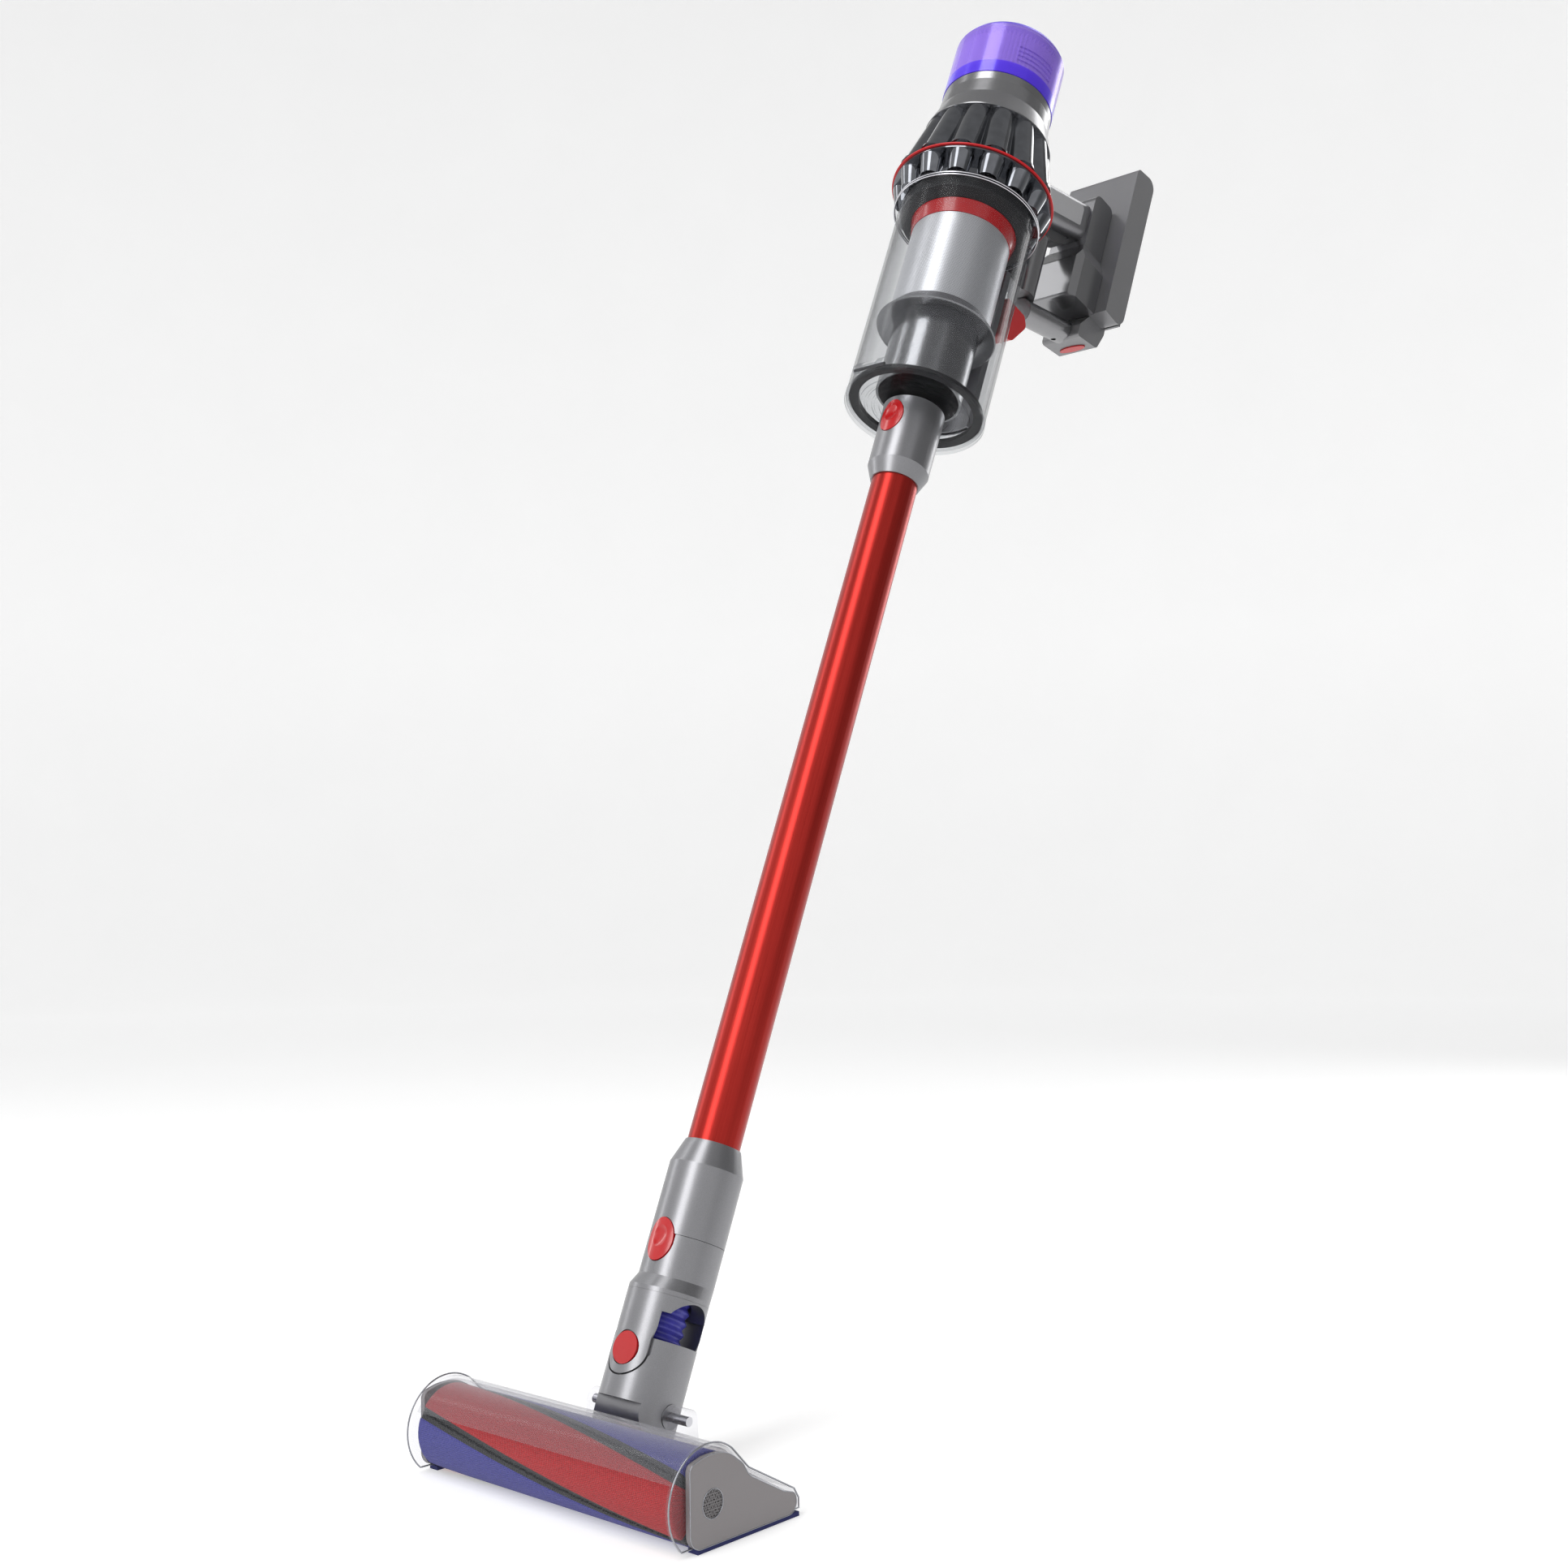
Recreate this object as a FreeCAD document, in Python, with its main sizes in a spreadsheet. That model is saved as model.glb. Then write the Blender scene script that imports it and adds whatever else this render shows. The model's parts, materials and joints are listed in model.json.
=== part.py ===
import FreeCAD
import Part
import math
import os
import re
import Sketcher

# A cordless stick vacuum cleaner: a soft roller head on the floor, a swivelling neck, a long metal
# wand, and a hand-held body with a clear bin, cyclones, a motor, a filter and a battery.
#
# Two frames are used. The floor frame has Z up, X to the side, the front towards -Y and its origin
# on the floor, at the middle of the felt strip that the head stands on. The wand frame has its Z
# along the wand and its Y towards the handle; it leans back from the floor frame by "lean".

V = FreeCAD.Vector

# Every size that can be set by itself, in millimetres, degrees or whole numbers.
SIZES = [
    # the head
    ("headwidth", 250.0),      # over both end plates
    ("rollerback", 52.0),      # roller axis, forward of the origin
    ("sleeveradius", 27.0),    # soft roller, touching the floor
    ("sleevethick", 4.5),
    ("corewall", 2.2),
    ("hoodradius", 31.5),
    ("hoodwall", 2.0),
    ("plate", 3.5),            # thickness of an end plate
    ("endgap", 3.0),           # roller end to end wall
    ("tailback", 26.0),        # rear edge of the head, behind the origin
    ("tailtop", 12.5),
    ("feltthick", 2.6),
    ("solethick", 2.4),
    ("hubradius", 8.3),
    ("motorradius", 14.0),
    ("drivelength", 120.0),
    # the neck
    ("trunnionup", 43.8),      # height of the tilt axis above the floor
    ("trunnionback", 10.2),     # tilt axis behind the origin
    ("barrelradius", 22.0),
    ("bossradius", 8.0),
    ("neckradius", 27.5),
    ("neckshift", 3.0),        # neck centre, forward of the wand axis
    ("neckbore", 17.8),
    ("pivotup", 33.5),         # swivel axis, above the tilt axis
    ("earradius", 16.3),
    ("earflat", 20.8),         # inner flat of an ear, from the neck centre
    ("pinradius", 6.0),
    ("capradius", 10.5),
    ("yoketop", 71.5),         # seam between the yoke and the connector, above the tilt axis
    ("hoseradius", 14.5),
    ("hosewall", 1.2),
    ("hoserib", 1.8),
    # the wand
    ("lean", 23.3),
    ("lowseam", 110.1),        # seam where the head pulls off, above the tilt axis
    ("collarradius", 25.7),
    ("collartop", 158.5),
    ("tuberadius", 18.4),
    ("tubewall", 1.3),
    ("tubelow", 148.5),
    ("tubehigh", 747.5),
    ("sockettop", 777.0),      # mouth of the wand's upper socket
    ("socketlow", 709.5),
    ("socketradius", 24.6),
    ("spigotradius", 21.6),
    ("spigotwall", 3.9),
    ("buttonwide", 21.0),
    ("buttontall", 28.6),
    ("presstravel", 2.0),
    # the bin
    ("binlow", 780.0),         # underside of the clear wall
    ("binhigh", 970.5),
    ("binradius", 57.0),
    ("binwall", 2.0),
    ("rimradius", 61.4),
    ("skirtradius", 35.0),
    ("skirtlow", 791.5),
    ("flarelevel", 865.5),
    ("flareradius", 49.5),
    ("meshradius", 41.5),
    ("meshhigh", 945.5),
    ("ringhigh", 957.5),
    ("ringradius", 44.5),
    # the cyclones and the motor
    ("cyclones", 14),
    ("gasketlevel", 991.5),
    ("gasketradius", 69.0),
    ("housinglow", 995.5),
    ("housingradius", 47.3),
    ("corebody", 44.0),        # housing below its skirt, inside the cyclones
    ("skirtwide", 54.8),
    ("skirtlevel", 1047.0),
    ("filterlow", 1089.0),
    ("filterhigh", 1146.5),
    ("filterradius", 47.8),
    ("coreface", 24.0),        # radius of the control face inside the filter
    # the handle
    ("gripslope", 21.4),
    ("gripwide", 33.0),
    ("griptall", 39.0),
    ("packback", 161.5),       # battery face, behind the wand axis
    ("packthick", 28.6),
    ("packwide", 73.2),
    ("packlow", 988.5),
    ("packhigh", 1155.0),
    ("cellradius", 9.1),
    ("plugradius", 2.8),       # charging socket
    ("plugdepth", 9.0),
    # general clearances
    ("gap", 0.3),              # between bodies that move on each other
    ("fit", 0.1),              # between pieces of one body
    ("running", 0.05),         # round a pin or a shaft
]

doc = FreeCAD.newDocument("StickVacuum")
sheet = doc.addObject("Spreadsheet::Sheet", "Sizes")
for row, (alias, value) in enumerate(SIZES, start=1):
    sheet.set(f"A{row}", alias)
    sheet.set(f"B{row}", str(value))
    sheet.setAlias(f"B{row}", alias)
doc.recompute()
S = {alias: float(sheet.get(alias)) for alias, _ in SIZES}
WORD = re.compile(r"\b(" + "|".join(S) + r")\b")

# The two frames, as placements.
TILT_AXIS = V(0, S["trunnionback"], S["trunnionup"])
WAND = FreeCAD.Placement(TILT_AXIS, FreeCAD.Rotation(V(1, 0, 0), -S["lean"]))

HEAD = FreeCAD.Placement(V(0, -S["rollerback"], 0), FreeCAD.Rotation())

nodes = []


def node(obj, label, frame):
    """Name a finished sub-part, put it in its frame and list it for export."""
    obj.Label = label
    obj.Placement = frame
    nodes.append(obj)
    return obj


def bind(obj, prop, text):
    """Set a property from an expression on the sheet's names."""
    obj.setExpression(prop, WORD.sub(r"Sizes.\1", text))


def number(text):
    """The value of a sum or difference of sheet names and numbers."""
    total = 0.0
    for sign, word in re.findall(r"([+-]?)\s*([a-z]+|[\d.]+)", text):
        amount = S[word] if word in S else float(word)
        total += -amount if sign == "-" else amount
    return total


def outline_sketch(body, role, outline):
    """A closed sketch of straight edges whose corners are bound to the sheet, two texts a corner."""
    plane = [f for f in body.Origin.OriginFeatures if f.Role == role][0]
    sketch = body.newObject("Sketcher::SketchObject", "Outline")
    sketch.AttachmentSupport = [(plane, "")]
    sketch.MapMode = "FlatFace"
    corners = [V(number(a), number(b), 0) for a, b in outline]
    count = len(corners)
    for i in range(count):
        sketch.addGeometry(Part.LineSegment(corners[i], corners[(i + 1) % count]))
    for i in range(count):
        sketch.addConstraint(Sketcher.Constraint("Coincident", i, 2, (i + 1) % count, 1))
    for i, (across, up) in enumerate(outline):
        for kind, text in (("DistanceX", across), ("DistanceY", up)):
            rule = Sketcher.Constraint(kind, -1, 1, i, 1, number(text))
            index = sketch.addConstraint(rule)
            bind(sketch, f"Constraints[{index}]", text)
    return sketch


def turned(name, outline):
    """A body turned about Z from an outline of radius and height."""
    body = doc.addObject("PartDesign::Body", name)
    sketch = outline_sketch(body, "XZ_Plane", outline)
    spin = body.newObject("PartDesign::Revolution", "Turn")
    spin.Profile = sketch
    spin.ReferenceAxis = (sketch, ["V_Axis"])
    spin.Angle = 360
    return body


def rod(name, radius, length, start=(0, 0, 0), along=(0, 0, 1)):
    """A Part cylinder from a point along a direction, its radius and length bound to the sheet."""
    piece = doc.addObject("Part::Cylinder", name)
    bind(piece, "Radius", radius)
    bind(piece, "Height", length)
    piece.Placement = FreeCAD.Placement(V(*start), FreeCAD.Rotation(V(0, 0, 1), V(*along)))
    return piece


def less(name, base, *tools):
    """Base minus every tool."""
    for i, tool in enumerate(tools):
        cut = doc.addObject("Part::Cut", f"{name}Cut{i}")
        cut.Base = base
        cut.Tool = tool
        base = cut
    return base


def joined(name, *pieces):
    """One solid of several that overlap."""
    fuse = doc.addObject("Part::MultiFuse", name + "Joined")
    fuse.Shapes = list(pieces)
    return fuse


def group(name, shapes):
    """A sub-part whose shape is made in code: one solid, or several that are alike."""
    feature = doc.addObject("Part::Feature", name)
    feature.Shape = Part.makeCompound(shapes)
    return feature


def smooth_prism(points, low, high):
    """A solid along X from corners (y, z, corner radius), each corner rounded by its own arc."""
    count = len(points)
    edges = []
    last = None
    ends = []
    for i in range(count):
        before = V(0, *points[i - 1][:2])
        here = V(0, *points[i][:2])
        after = V(0, *points[(i + 1) % count][:2])
        radius = points[i][2]
        if radius <= 0:
            ends.append((here, here, None))
            continue
        a = (before - here).normalize()
        b = (after - here).normalize()
        half = a.getAngle(b) / 2
        back = radius / math.tan(half)
        centre = here + (a + b).normalize() * (radius / math.sin(half))
        middle = centre + (here - centre).normalize() * radius
        ends.append((here + a * back, here + b * back, middle))
    for i in range(count):
        first, second, middle = ends[i]
        if last is not None and last.distanceToPoint(first) > 1e-6:
            edges.append(Part.LineSegment(last, first).toShape())
        if middle is not None:
            edges.append(Part.Arc(first, middle, second).toShape())
        last = second
    if last.distanceToPoint(ends[0][0]) > 1e-6:
        edges.append(Part.LineSegment(last, ends[0][0]).toShape())
    face = Part.Face(Part.Wire(edges))
    face.translate(V(low, 0, 0))
    return face.extrude(V(high - low, 0, 0))


def oval_prism(wide, tall, start, end, level):
    """An oval solid along Y, centred at a height, from one Y to another."""
    curve = Part.Ellipse(V(0, 0, 0), max(wide, tall) / 2, min(wide, tall) / 2)
    wire = Part.Wire([curve.toShape()])
    if tall > wide:
        wire.rotate(V(0, 0, 0), V(0, 0, 1), 90)
    wire.rotate(V(0, 0, 0), V(1, 0, 0), 90)
    wire.translate(V(0, start, level))
    return Part.Face(wire).extrude(V(0, end - start, 0))


# ---------------------------------------------------------------------------------------------
# The roller: a hard core under a soft woven sleeve, with a hub at each end.
# ---------------------------------------------------------------------------------------------
ROLLER = FreeCAD.Placement(V(0, -S["rollerback"], S["sleeveradius"]),
                           FreeCAD.Rotation(V(0, 0, 1), V(1, 0, 0)))
HALF = S["headwidth"] / 2
END_WALL = 2.5                              # thickness of a clear end wall
WALL_IN = HALF - S["plate"] - END_WALL      # inner face of an end wall
ROLLER_HALF = WALL_IN - S["endgap"]


def roller_tube(label, outer, inner, inset):
    """A tube along the roller axis, each end set in from the end of the roller."""
    length = f"headwidth - 2 * (plate + {END_WALL} + endgap + {inset})"
    tube = rod(label + "Outer", outer, length, (0, 0, inset - ROLLER_HALF))
    hole = rod(label + "Inner", inner, length + " + 2", (0, 0, inset - ROLLER_HALF - 1))
    return node(less(label, tube, hole), label, ROLLER)


roller_tube("roller_sleeve", "sleeveradius", "sleeveradius - sleevethick", 0)
CORE = "sleeveradius - sleevethick - 0.3"     # the core lies just inside the sleeve
roller_tube("roller_core", CORE, CORE + " - corewall", 0.5)

hubs = []
for side in (-1, 1):
    hub = Part.makeCylinder(number(CORE) - S["corewall"] - S["fit"], 6,
                            V(0, 0, side * (ROLLER_HALF - 8) - 3))
    bore = Part.makeCylinder(4 + S["running"], 8, V(0, 0, side * (ROLLER_HALF - 8) - 4))
    hubs.append(hub.cut(bore))
node(group("roller_hubs", hubs), "roller_hubs", ROLLER)

# The drive motor hangs inside the core on an axle from the right end wall; an idler axle is on
# the left. Both axles run in the hubs.
INNER = WALL_IN - S["fit"]
motor = Part.makeCylinder(S["motorradius"], S["drivelength"], V(0, 0, 30 - S["drivelength"] / 2))
axle = Part.makeCylinder(4, INNER - 80, V(0, 0, 80))
node(group("roller_motor", [motor.fuse(axle)]), "roller_motor", ROLLER)
node(group("idler_axle", [Part.makeCylinder(4, 22, V(0, 0, -INNER))]), "idler_axle", ROLLER)

# ---------------------------------------------------------------------------------------------
# The head: a clear hood over the roller, a sole, felt strips and a plate on each end.
# ---------------------------------------------------------------------------------------------
AXIS_UP = S["sleeveradius"]
TAIL_Y = S["rollerback"] + S["tailback"]
KNEE_Y = 33.0                               # where the hood's curve meets its rear deck
KNEE_Z = 38.0
LIP_ANGLE = 27.0                            # front edge of the hood, above the roller axis
SOLE_TOP = S["feltthick"] + S["solethick"]


def hood_band(radius, drop, lip):
    """Outline of the hood at a radius, from its front lip over the top to the tail."""
    lip_at = math.radians(180 - lip)
    top = V(0, 0, AXIS_UP + radius)
    front = V(0, radius * math.cos(lip_at), AXIS_UP + radius * math.sin(lip_at))
    knee = V(0, KNEE_Y - drop * 0.55, KNEE_Z - drop * 0.85)
    tangent = math.radians(38)
    rear = V(0, radius * math.sin(tangent), AXIS_UP + radius * math.cos(tangent))
    return front, top, rear, knee


def hood_shell():
    wall = S["hoodwall"]
    f1, t1, r1, k1 = hood_band(S["hoodradius"], 0, LIP_ANGLE)
    f2, t2, r2, k2 = hood_band(S["hoodradius"] - wall, wall, LIP_ANGLE)
    tail_out = V(0, TAIL_Y - 4, S["tailtop"] + 3)
    tip = V(0, TAIL_Y, S["tailtop"] - 3)
    foot_out = V(0, TAIL_Y, SOLE_TOP + S["fit"])
    foot_in = V(0, TAIL_Y - wall, SOLE_TOP + S["fit"])
    tail_in = V(0, TAIL_Y - wall - 3, S["tailtop"] + 3 - wall * 1.2)
    edges = [
        Part.Arc(f1, t1, r1).toShape(),
        Part.LineSegment(r1, k1).toShape(),
        Part.LineSegment(k1, tail_out).toShape(),
        Part.LineSegment(tail_out, tip).toShape(),
        Part.LineSegment(tip, foot_out).toShape(),
        Part.LineSegment(foot_out, foot_in).toShape(),
        Part.LineSegment(foot_in, tail_in).toShape(),
        Part.LineSegment(tail_in, k2).toShape(),
        Part.LineSegment(k2, r2).toShape(),
        Part.Arc(r2, t2, f2).toShape(),
        Part.LineSegment(f2, f1).toShape(),
    ]
    face = Part.Face(Part.Wire(edges))
    face.translate(V(-WALL_IN, 0, 0))
    return face.extrude(V(2 * WALL_IN, 0, 0))


def end_wall(side):
    """The clear wall at one end: round over the roller, then down along the deck to the tail."""
    radius = S["hoodradius"] + 0.8
    low = SOLE_TOP - 1.6
    front = V(WALL_IN, -math.sqrt(radius ** 2 - (AXIS_UP - low) ** 2), low)
    tangent = math.radians(38)
    rear = V(WALL_IN, radius * math.sin(tangent), AXIS_UP + radius * math.cos(tangent))
    brow = V(WALL_IN, -radius * math.sin(tangent), AXIS_UP + radius * math.cos(tangent))
    corners = [rear, V(WALL_IN, KNEE_Y + 1, KNEE_Z), V(WALL_IN, TAIL_Y - 4, S["tailtop"] + 3.5),
               V(WALL_IN, TAIL_Y, S["tailtop"] - 3), V(WALL_IN, TAIL_Y, low), front]
    edges = [Part.LineSegment(a, b).toShape() for a, b in zip(corners, corners[1:])]
    edges.insert(0, Part.Arc(front, brow, rear).toShape())
    shape = Part.Face(Part.Wire(edges)).extrude(V(END_WALL, 0, 0))
    axle_hole = Part.makeCylinder(4 + S["fit"], 10, V(WALL_IN - 2, 0, AXIS_UP), V(1, 0, 0))
    shape = shape.cut(axle_hole)
    return shape if side > 0 else shape.mirror(V(0, 0, 0), V(1, 0, 0))


TRUNNION = V(0, S["trunnionback"] + S["rollerback"], S["trunnionup"])
BARREL_HALF = 28.0
KNUCKLE_IN = BARREL_HALF + 4.0
KNUCKLE_OUT = KNUCKLE_IN + 12.0
KNUCKLE_RADIUS = 7.8

hood = hood_shell()
window = Part.makeBox(2 * BARREL_HALF + 4, 38, 60,
                      V(-BARREL_HALF - 2, TRUNNION.y - S["barrelradius"] - 1.5, 12))
hood = hood.cut(window)
pin_bores = []
for side in (-1, 1):
    start = KNUCKLE_IN if side > 0 else -KNUCKLE_OUT
    stem = smooth_prism([(TRUNNION.y - 9, 21, 0), (TRUNNION.y - 7.5, TRUNNION.z, 0),
                         (TRUNNION.y + 7.5, TRUNNION.z, 0), (TRUNNION.y + 9, 21, 0)],
                        start, start + 12)
    eye = Part.makeCylinder(KNUCKLE_RADIUS, 12, V(start, TRUNNION.y, TRUNNION.z), V(1, 0, 0))
    hood = hood.fuse(stem).fuse(eye)
    hood = hood.fuse(end_wall(side))
    pin_bores.append(Part.makeCylinder(3 + S["fit"], 24, V(start - 6, TRUNNION.y, TRUNNION.z),
                                       V(1, 0, 0)))
for bore in pin_bores:
    hood = hood.cut(bore)
node(group("head_housing", [hood.removeSplitter()]), "head_housing", HEAD)

pins = []
for side in (-1, 1):
    start = 20.0 if side > 0 else -KNUCKLE_OUT
    pins.append(Part.makeCylinder(3, KNUCKLE_OUT - 20, V(start, TRUNNION.y, TRUNNION.z),
                                  V(1, 0, 0)))
node(group("tilt_pins", pins), "tilt_pins", HEAD)

# The sole closes the head behind the roller, and carries the suction duct below the neck.
SOLE_FRONT = 32.0
sole = Part.makeBox(2 * WALL_IN - 0.4, TAIL_Y - SOLE_FRONT - 0.3, S["solethick"],
                    V(-WALL_IN + 0.2, SOLE_FRONT, S["feltthick"]))
node(group("sole_plate", [sole]), "sole_plate", HEAD)

duct_r = S["barrelradius"] + S["gap"]
DUCT_FRONT = TRUNNION.y - 17
DUCT_BACK = TAIL_Y - S["hoodwall"] - 4
duct_tall = TRUNNION.z - 11 - SOLE_TOP
duct = Part.makeBox(2 * BARREL_HALF, DUCT_BACK - DUCT_FRONT, duct_tall,
                    V(-BARREL_HALF, DUCT_FRONT, SOLE_TOP + S["fit"]))
duct = duct.cut(Part.makeBox(2 * BARREL_HALF - 8, DUCT_BACK - DUCT_FRONT - 2, duct_tall,
                             V(-BARREL_HALF + 4, DUCT_FRONT - 1, SOLE_TOP + 2.1)))
duct = duct.cut(Part.makeCylinder(duct_r, 2 * BARREL_HALF + 2,
                                  V(-BARREL_HALF - 1, TRUNNION.y, TRUNNION.z), V(1, 0, 0)))
node(group("suction_duct", [duct]), "suction_duct", HEAD)

FELT_WIDE = 8.0
felt = Part.makeBox(2 * HALF - 1, TAIL_Y - 34.0 - 3, S["feltthick"], V(-HALF + 0.5, 34.0, 0))
for side in (-1, 1):
    low = HALF - 0.5 - FELT_WIDE if side > 0 else -HALF + 0.5
    felt = felt.fuse(Part.makeBox(FELT_WIDE, 34.0 + 12, S["feltthick"], V(low, -12, 0)))
node(group("felt_strip", [felt.removeSplitter()]), "felt_strip", HEAD)


def end_plate(side):
    """The matt plate outside an end wall: straight at the front, round over the hub, then a tail."""
    low = WALL_IN + END_WALL
    base = S["feltthick"] + 0.2
    crest = AXIS_UP + 26.8
    shape = smooth_prism([(-18.5, base, 9), (-18.5, crest - 3.2, 5), (-6, crest, 30), (11, crest, 26),
                          (25.5, 43, 10), (31, 34.5, 12), (61, 18, 14), (TAIL_Y - 7, 15, 5),
                          (TAIL_Y - 3.5, base, 7)], low, HALF)
    rim = Part.makeCylinder(S["hubradius"] + S["fit"], 2.0, V(HALF - 1.5, 0, AXIS_UP - 1),
                            V(1, 0, 0))
    shape = shape.cut(rim)
    shape = shape.cut(Part.makeCylinder(4 + S["fit"], 10, V(low - 1, 0, AXIS_UP), V(1, 0, 0)))
    return shape if side > 0 else shape.mirror(V(0, 0, 0), V(1, 0, 0))


node(group("end_plate_right", [end_plate(1)]), "end_plate_right", HEAD)
node(group("end_plate_left", [end_plate(-1)]), "end_plate_left", HEAD)

discs = []
for side in (-1, 1):
    disc = Part.makeCylinder(S["hubradius"], 1.2, V(HALF - 1.45, 0, AXIS_UP - 1), V(1, 0, 0))
    for ring, count in ((2.4, 6), (4.8, 12), (7.0, 18)):
        for i in range(count):
            turn = 2 * math.pi * i / count
            disc = disc.cut(Part.makeCylinder(0.45, 4, V(HALF - 3, ring * math.cos(turn),
                            AXIS_UP - 1 + ring * math.sin(turn)), V(1, 0, 0)))
    discs.append(disc if side > 0 else disc.mirror(V(0, 0, 0), V(1, 0, 0)))
node(group("hub_discs", discs), "hub_discs", HEAD)

# ---------------------------------------------------------------------------------------------
# The neck: a barrel that tilts in the head, a tube with cut-back sides and the hose inside it.
# From here on every height is measured along the wand, from the tilt axis.
# ---------------------------------------------------------------------------------------------
NECK_MID = -S["neckshift"]
NECK_TOP = S["pivotup"] + 9.5
NECK_FLAT = S["earflat"] - S["gap"]
EAR_HALF = S["earradius"]

tube = Part.makeCylinder(S["neckradius"], NECK_TOP - 3, V(0, NECK_MID, 3))
foot = Part.makeCylinder(S["neckradius"], 40, V(0, NECK_MID, -30))
foot = foot.common(Part.makeCylinder(S["barrelradius"], 80, V(-40, 0, 0), V(1, 0, 0)))
bosses = Part.makeCylinder(S["bossradius"], 2 * BARREL_HALF, V(-BARREL_HALF, 0, 0), V(1, 0, 0))
tube = tube.fuse(foot).fuse(bosses)
# the ears of the yoke lie in a flat on the front and on the rear
recess_half = EAR_HALF + 1.1
recess = [(recess_half, -2), (recess_half + 1.6, 0.5), (recess_half + 4.2, 5), (recess_half + 8, 10)]
recess = recess + [(-x, up) for x, up in reversed(recess)]
for side in (-1, 1):
    start = NECK_MID + side * NECK_FLAT
    low = start if side > 0 else start - 20
    corners = [V(x, low, S["pivotup"] + up) for x, up in recess]
    space = Part.Face(Part.makePolygon(corners + corners[:1])).extrude(V(0, 20, 0))
    tube = tube.cut(space)
    tube = tube.cut(Part.makeCylinder(recess_half, 20, V(0, low, S["pivotup"]), V(0, 1, 0)))
# the lower rear is cut back, so that the neck can lie down over the tail
wedge = smooth_prism([(12, -8, 0), (40, -8, 0), (40, 26, 0), (NECK_MID + 27.6, 22, 0)], -40, 40)
wedge = wedge.cut(Part.makeCylinder(S["barrelradius"], 90, V(-45, 0, 0), V(1, 0, 0)))
tube = tube.cut(wedge)
tube = tube.cut(Part.makeCylinder(S["neckbore"], 60, V(0, NECK_MID, 10)))
tube = tube.cut(Part.makeCylinder(15.0, 60, V(0, NECK_MID, -30)))
for side in (-1, 1):
    tube = tube.cut(Part.makeCylinder(3 + S["running"], 12, V(side * (BARREL_HALF - 3) - 6, 0, 0),
                                      V(1, 0, 0)))
for side in (-1, 1):
    start = NECK_MID + side * (S["neckbore"] - 2)
    tube = tube.cut(Part.makeCylinder(S["pinradius"] + S["running"], 30,
                                      V(0, start, S["pivotup"]), V(0, side, 0)))
node(group("neck_tube", [tube.removeSplitter()]), "neck_tube", WAND)

# The hose: a thin corrugated tube that bends in the neck.
ribs = 9
hose_low = 12.0
hose_high = S["yoketop"] + 2
step = (hose_high - hose_low) / ribs
outer = [V(S["hoseradius"] - S["hosewall"], 0, hose_low)]
for i in range(ribs):
    outer.append(V(S["hoseradius"], 0, hose_low + i * step))
    outer.append(V(S["hoseradius"] + S["hoserib"], 0, hose_low + (i + 0.5) * step))
outer.append(V(S["hoseradius"], 0, hose_high))
outer.append(V(S["hoseradius"] - S["hosewall"], 0, hose_high))
hose = Part.Face(Part.makePolygon(outer + [outer[0]])).revolve(V(0, 0, 0), V(0, 0, 1), 360)
hose.translate(V(0, NECK_MID, 0))
node(group("neck_hose", [hose]), "neck_hose", WAND)

# ---------------------------------------------------------------------------------------------
# The yoke: two ears that hold the neck at the swivel pins, and the connector above it.
# ---------------------------------------------------------------------------------------------
YOKE_TOP = S["yoketop"] - S["fit"]
WINDOW_TOP = S["pivotup"] + 36.5
CROWN = WINDOW_TOP - 9                      # lower edge of the ring that joins the ears
yoke = Part.makeCylinder(S["neckradius"], YOKE_TOP - 10, V(0, NECK_MID, 10))
keep = []
for side in (-1, 1):
    low = NECK_MID + S["earflat"] if side > 0 else NECK_MID - S["earflat"] - 20
    ear = Part.Face(Part.makePolygon([V(-EAR_HALF, low, S["pivotup"]), V(EAR_HALF, low, S["pivotup"]),
                                      V(EAR_HALF, low, S["pivotup"] + 9), V(EAR_HALF + 4, low, CROWN),
                                      V(-EAR_HALF - 4, low, CROWN), V(-EAR_HALF, low, S["pivotup"] + 9),
                                      V(-EAR_HALF, low, S["pivotup"])])).extrude(V(0, 20, 0))
    ear = ear.fuse(Part.makeCylinder(EAR_HALF, 20, V(0, low, S["pivotup"]), V(0, 1, 0)))
    keep.append(ear)
crown = Part.makeBox(80, 80, 40, V(-40, -40, CROWN - 0.5))
keep.append(crown)
arch = keep[0].fuse(keep[1]).fuse(crown).removeSplitter()
yoke = yoke.common(arch)
# each side window ends in a round arch
window_half = 19.0
opening = Part.makeBox(80, 2 * window_half, 30, V(-40, NECK_MID - window_half, WINDOW_TOP - 42))
opening = opening.fuse(Part.makeCylinder(window_half, 80, V(-40, NECK_MID, WINDOW_TOP - 19),
                                         V(1, 0, 0)))
crown_cut = opening.fuse(Part.makeBox(80, 2 * S["earflat"], WINDOW_TOP - 21,
                                      V(-40, NECK_MID - S["earflat"], 0)))
yoke = yoke.cut(crown_cut)
yoke = yoke.cut(Part.makeCylinder(S["hoseradius"] + S["hoserib"] + 0.5, 60,
                                  V(0, NECK_MID, WINDOW_TOP - 30)))
for side in (-1, 1):
    yoke = yoke.cut(Part.makeCylinder(S["pinradius"] + S["fit"], 20,
                    V(0, NECK_MID + side * (S["earflat"] - 2), S["pivotup"]), V(0, side, 0)))
    yoke = yoke.cut(Part.makeCylinder(S["capradius"] + 0.6, 10,
                    V(0, NECK_MID + side * (S["earflat"] + 3.4), S["pivotup"]), V(0, side, 0)))
node(group("swivel_yoke", [yoke.removeSplitter()]), "swivel_yoke", WAND)

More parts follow.
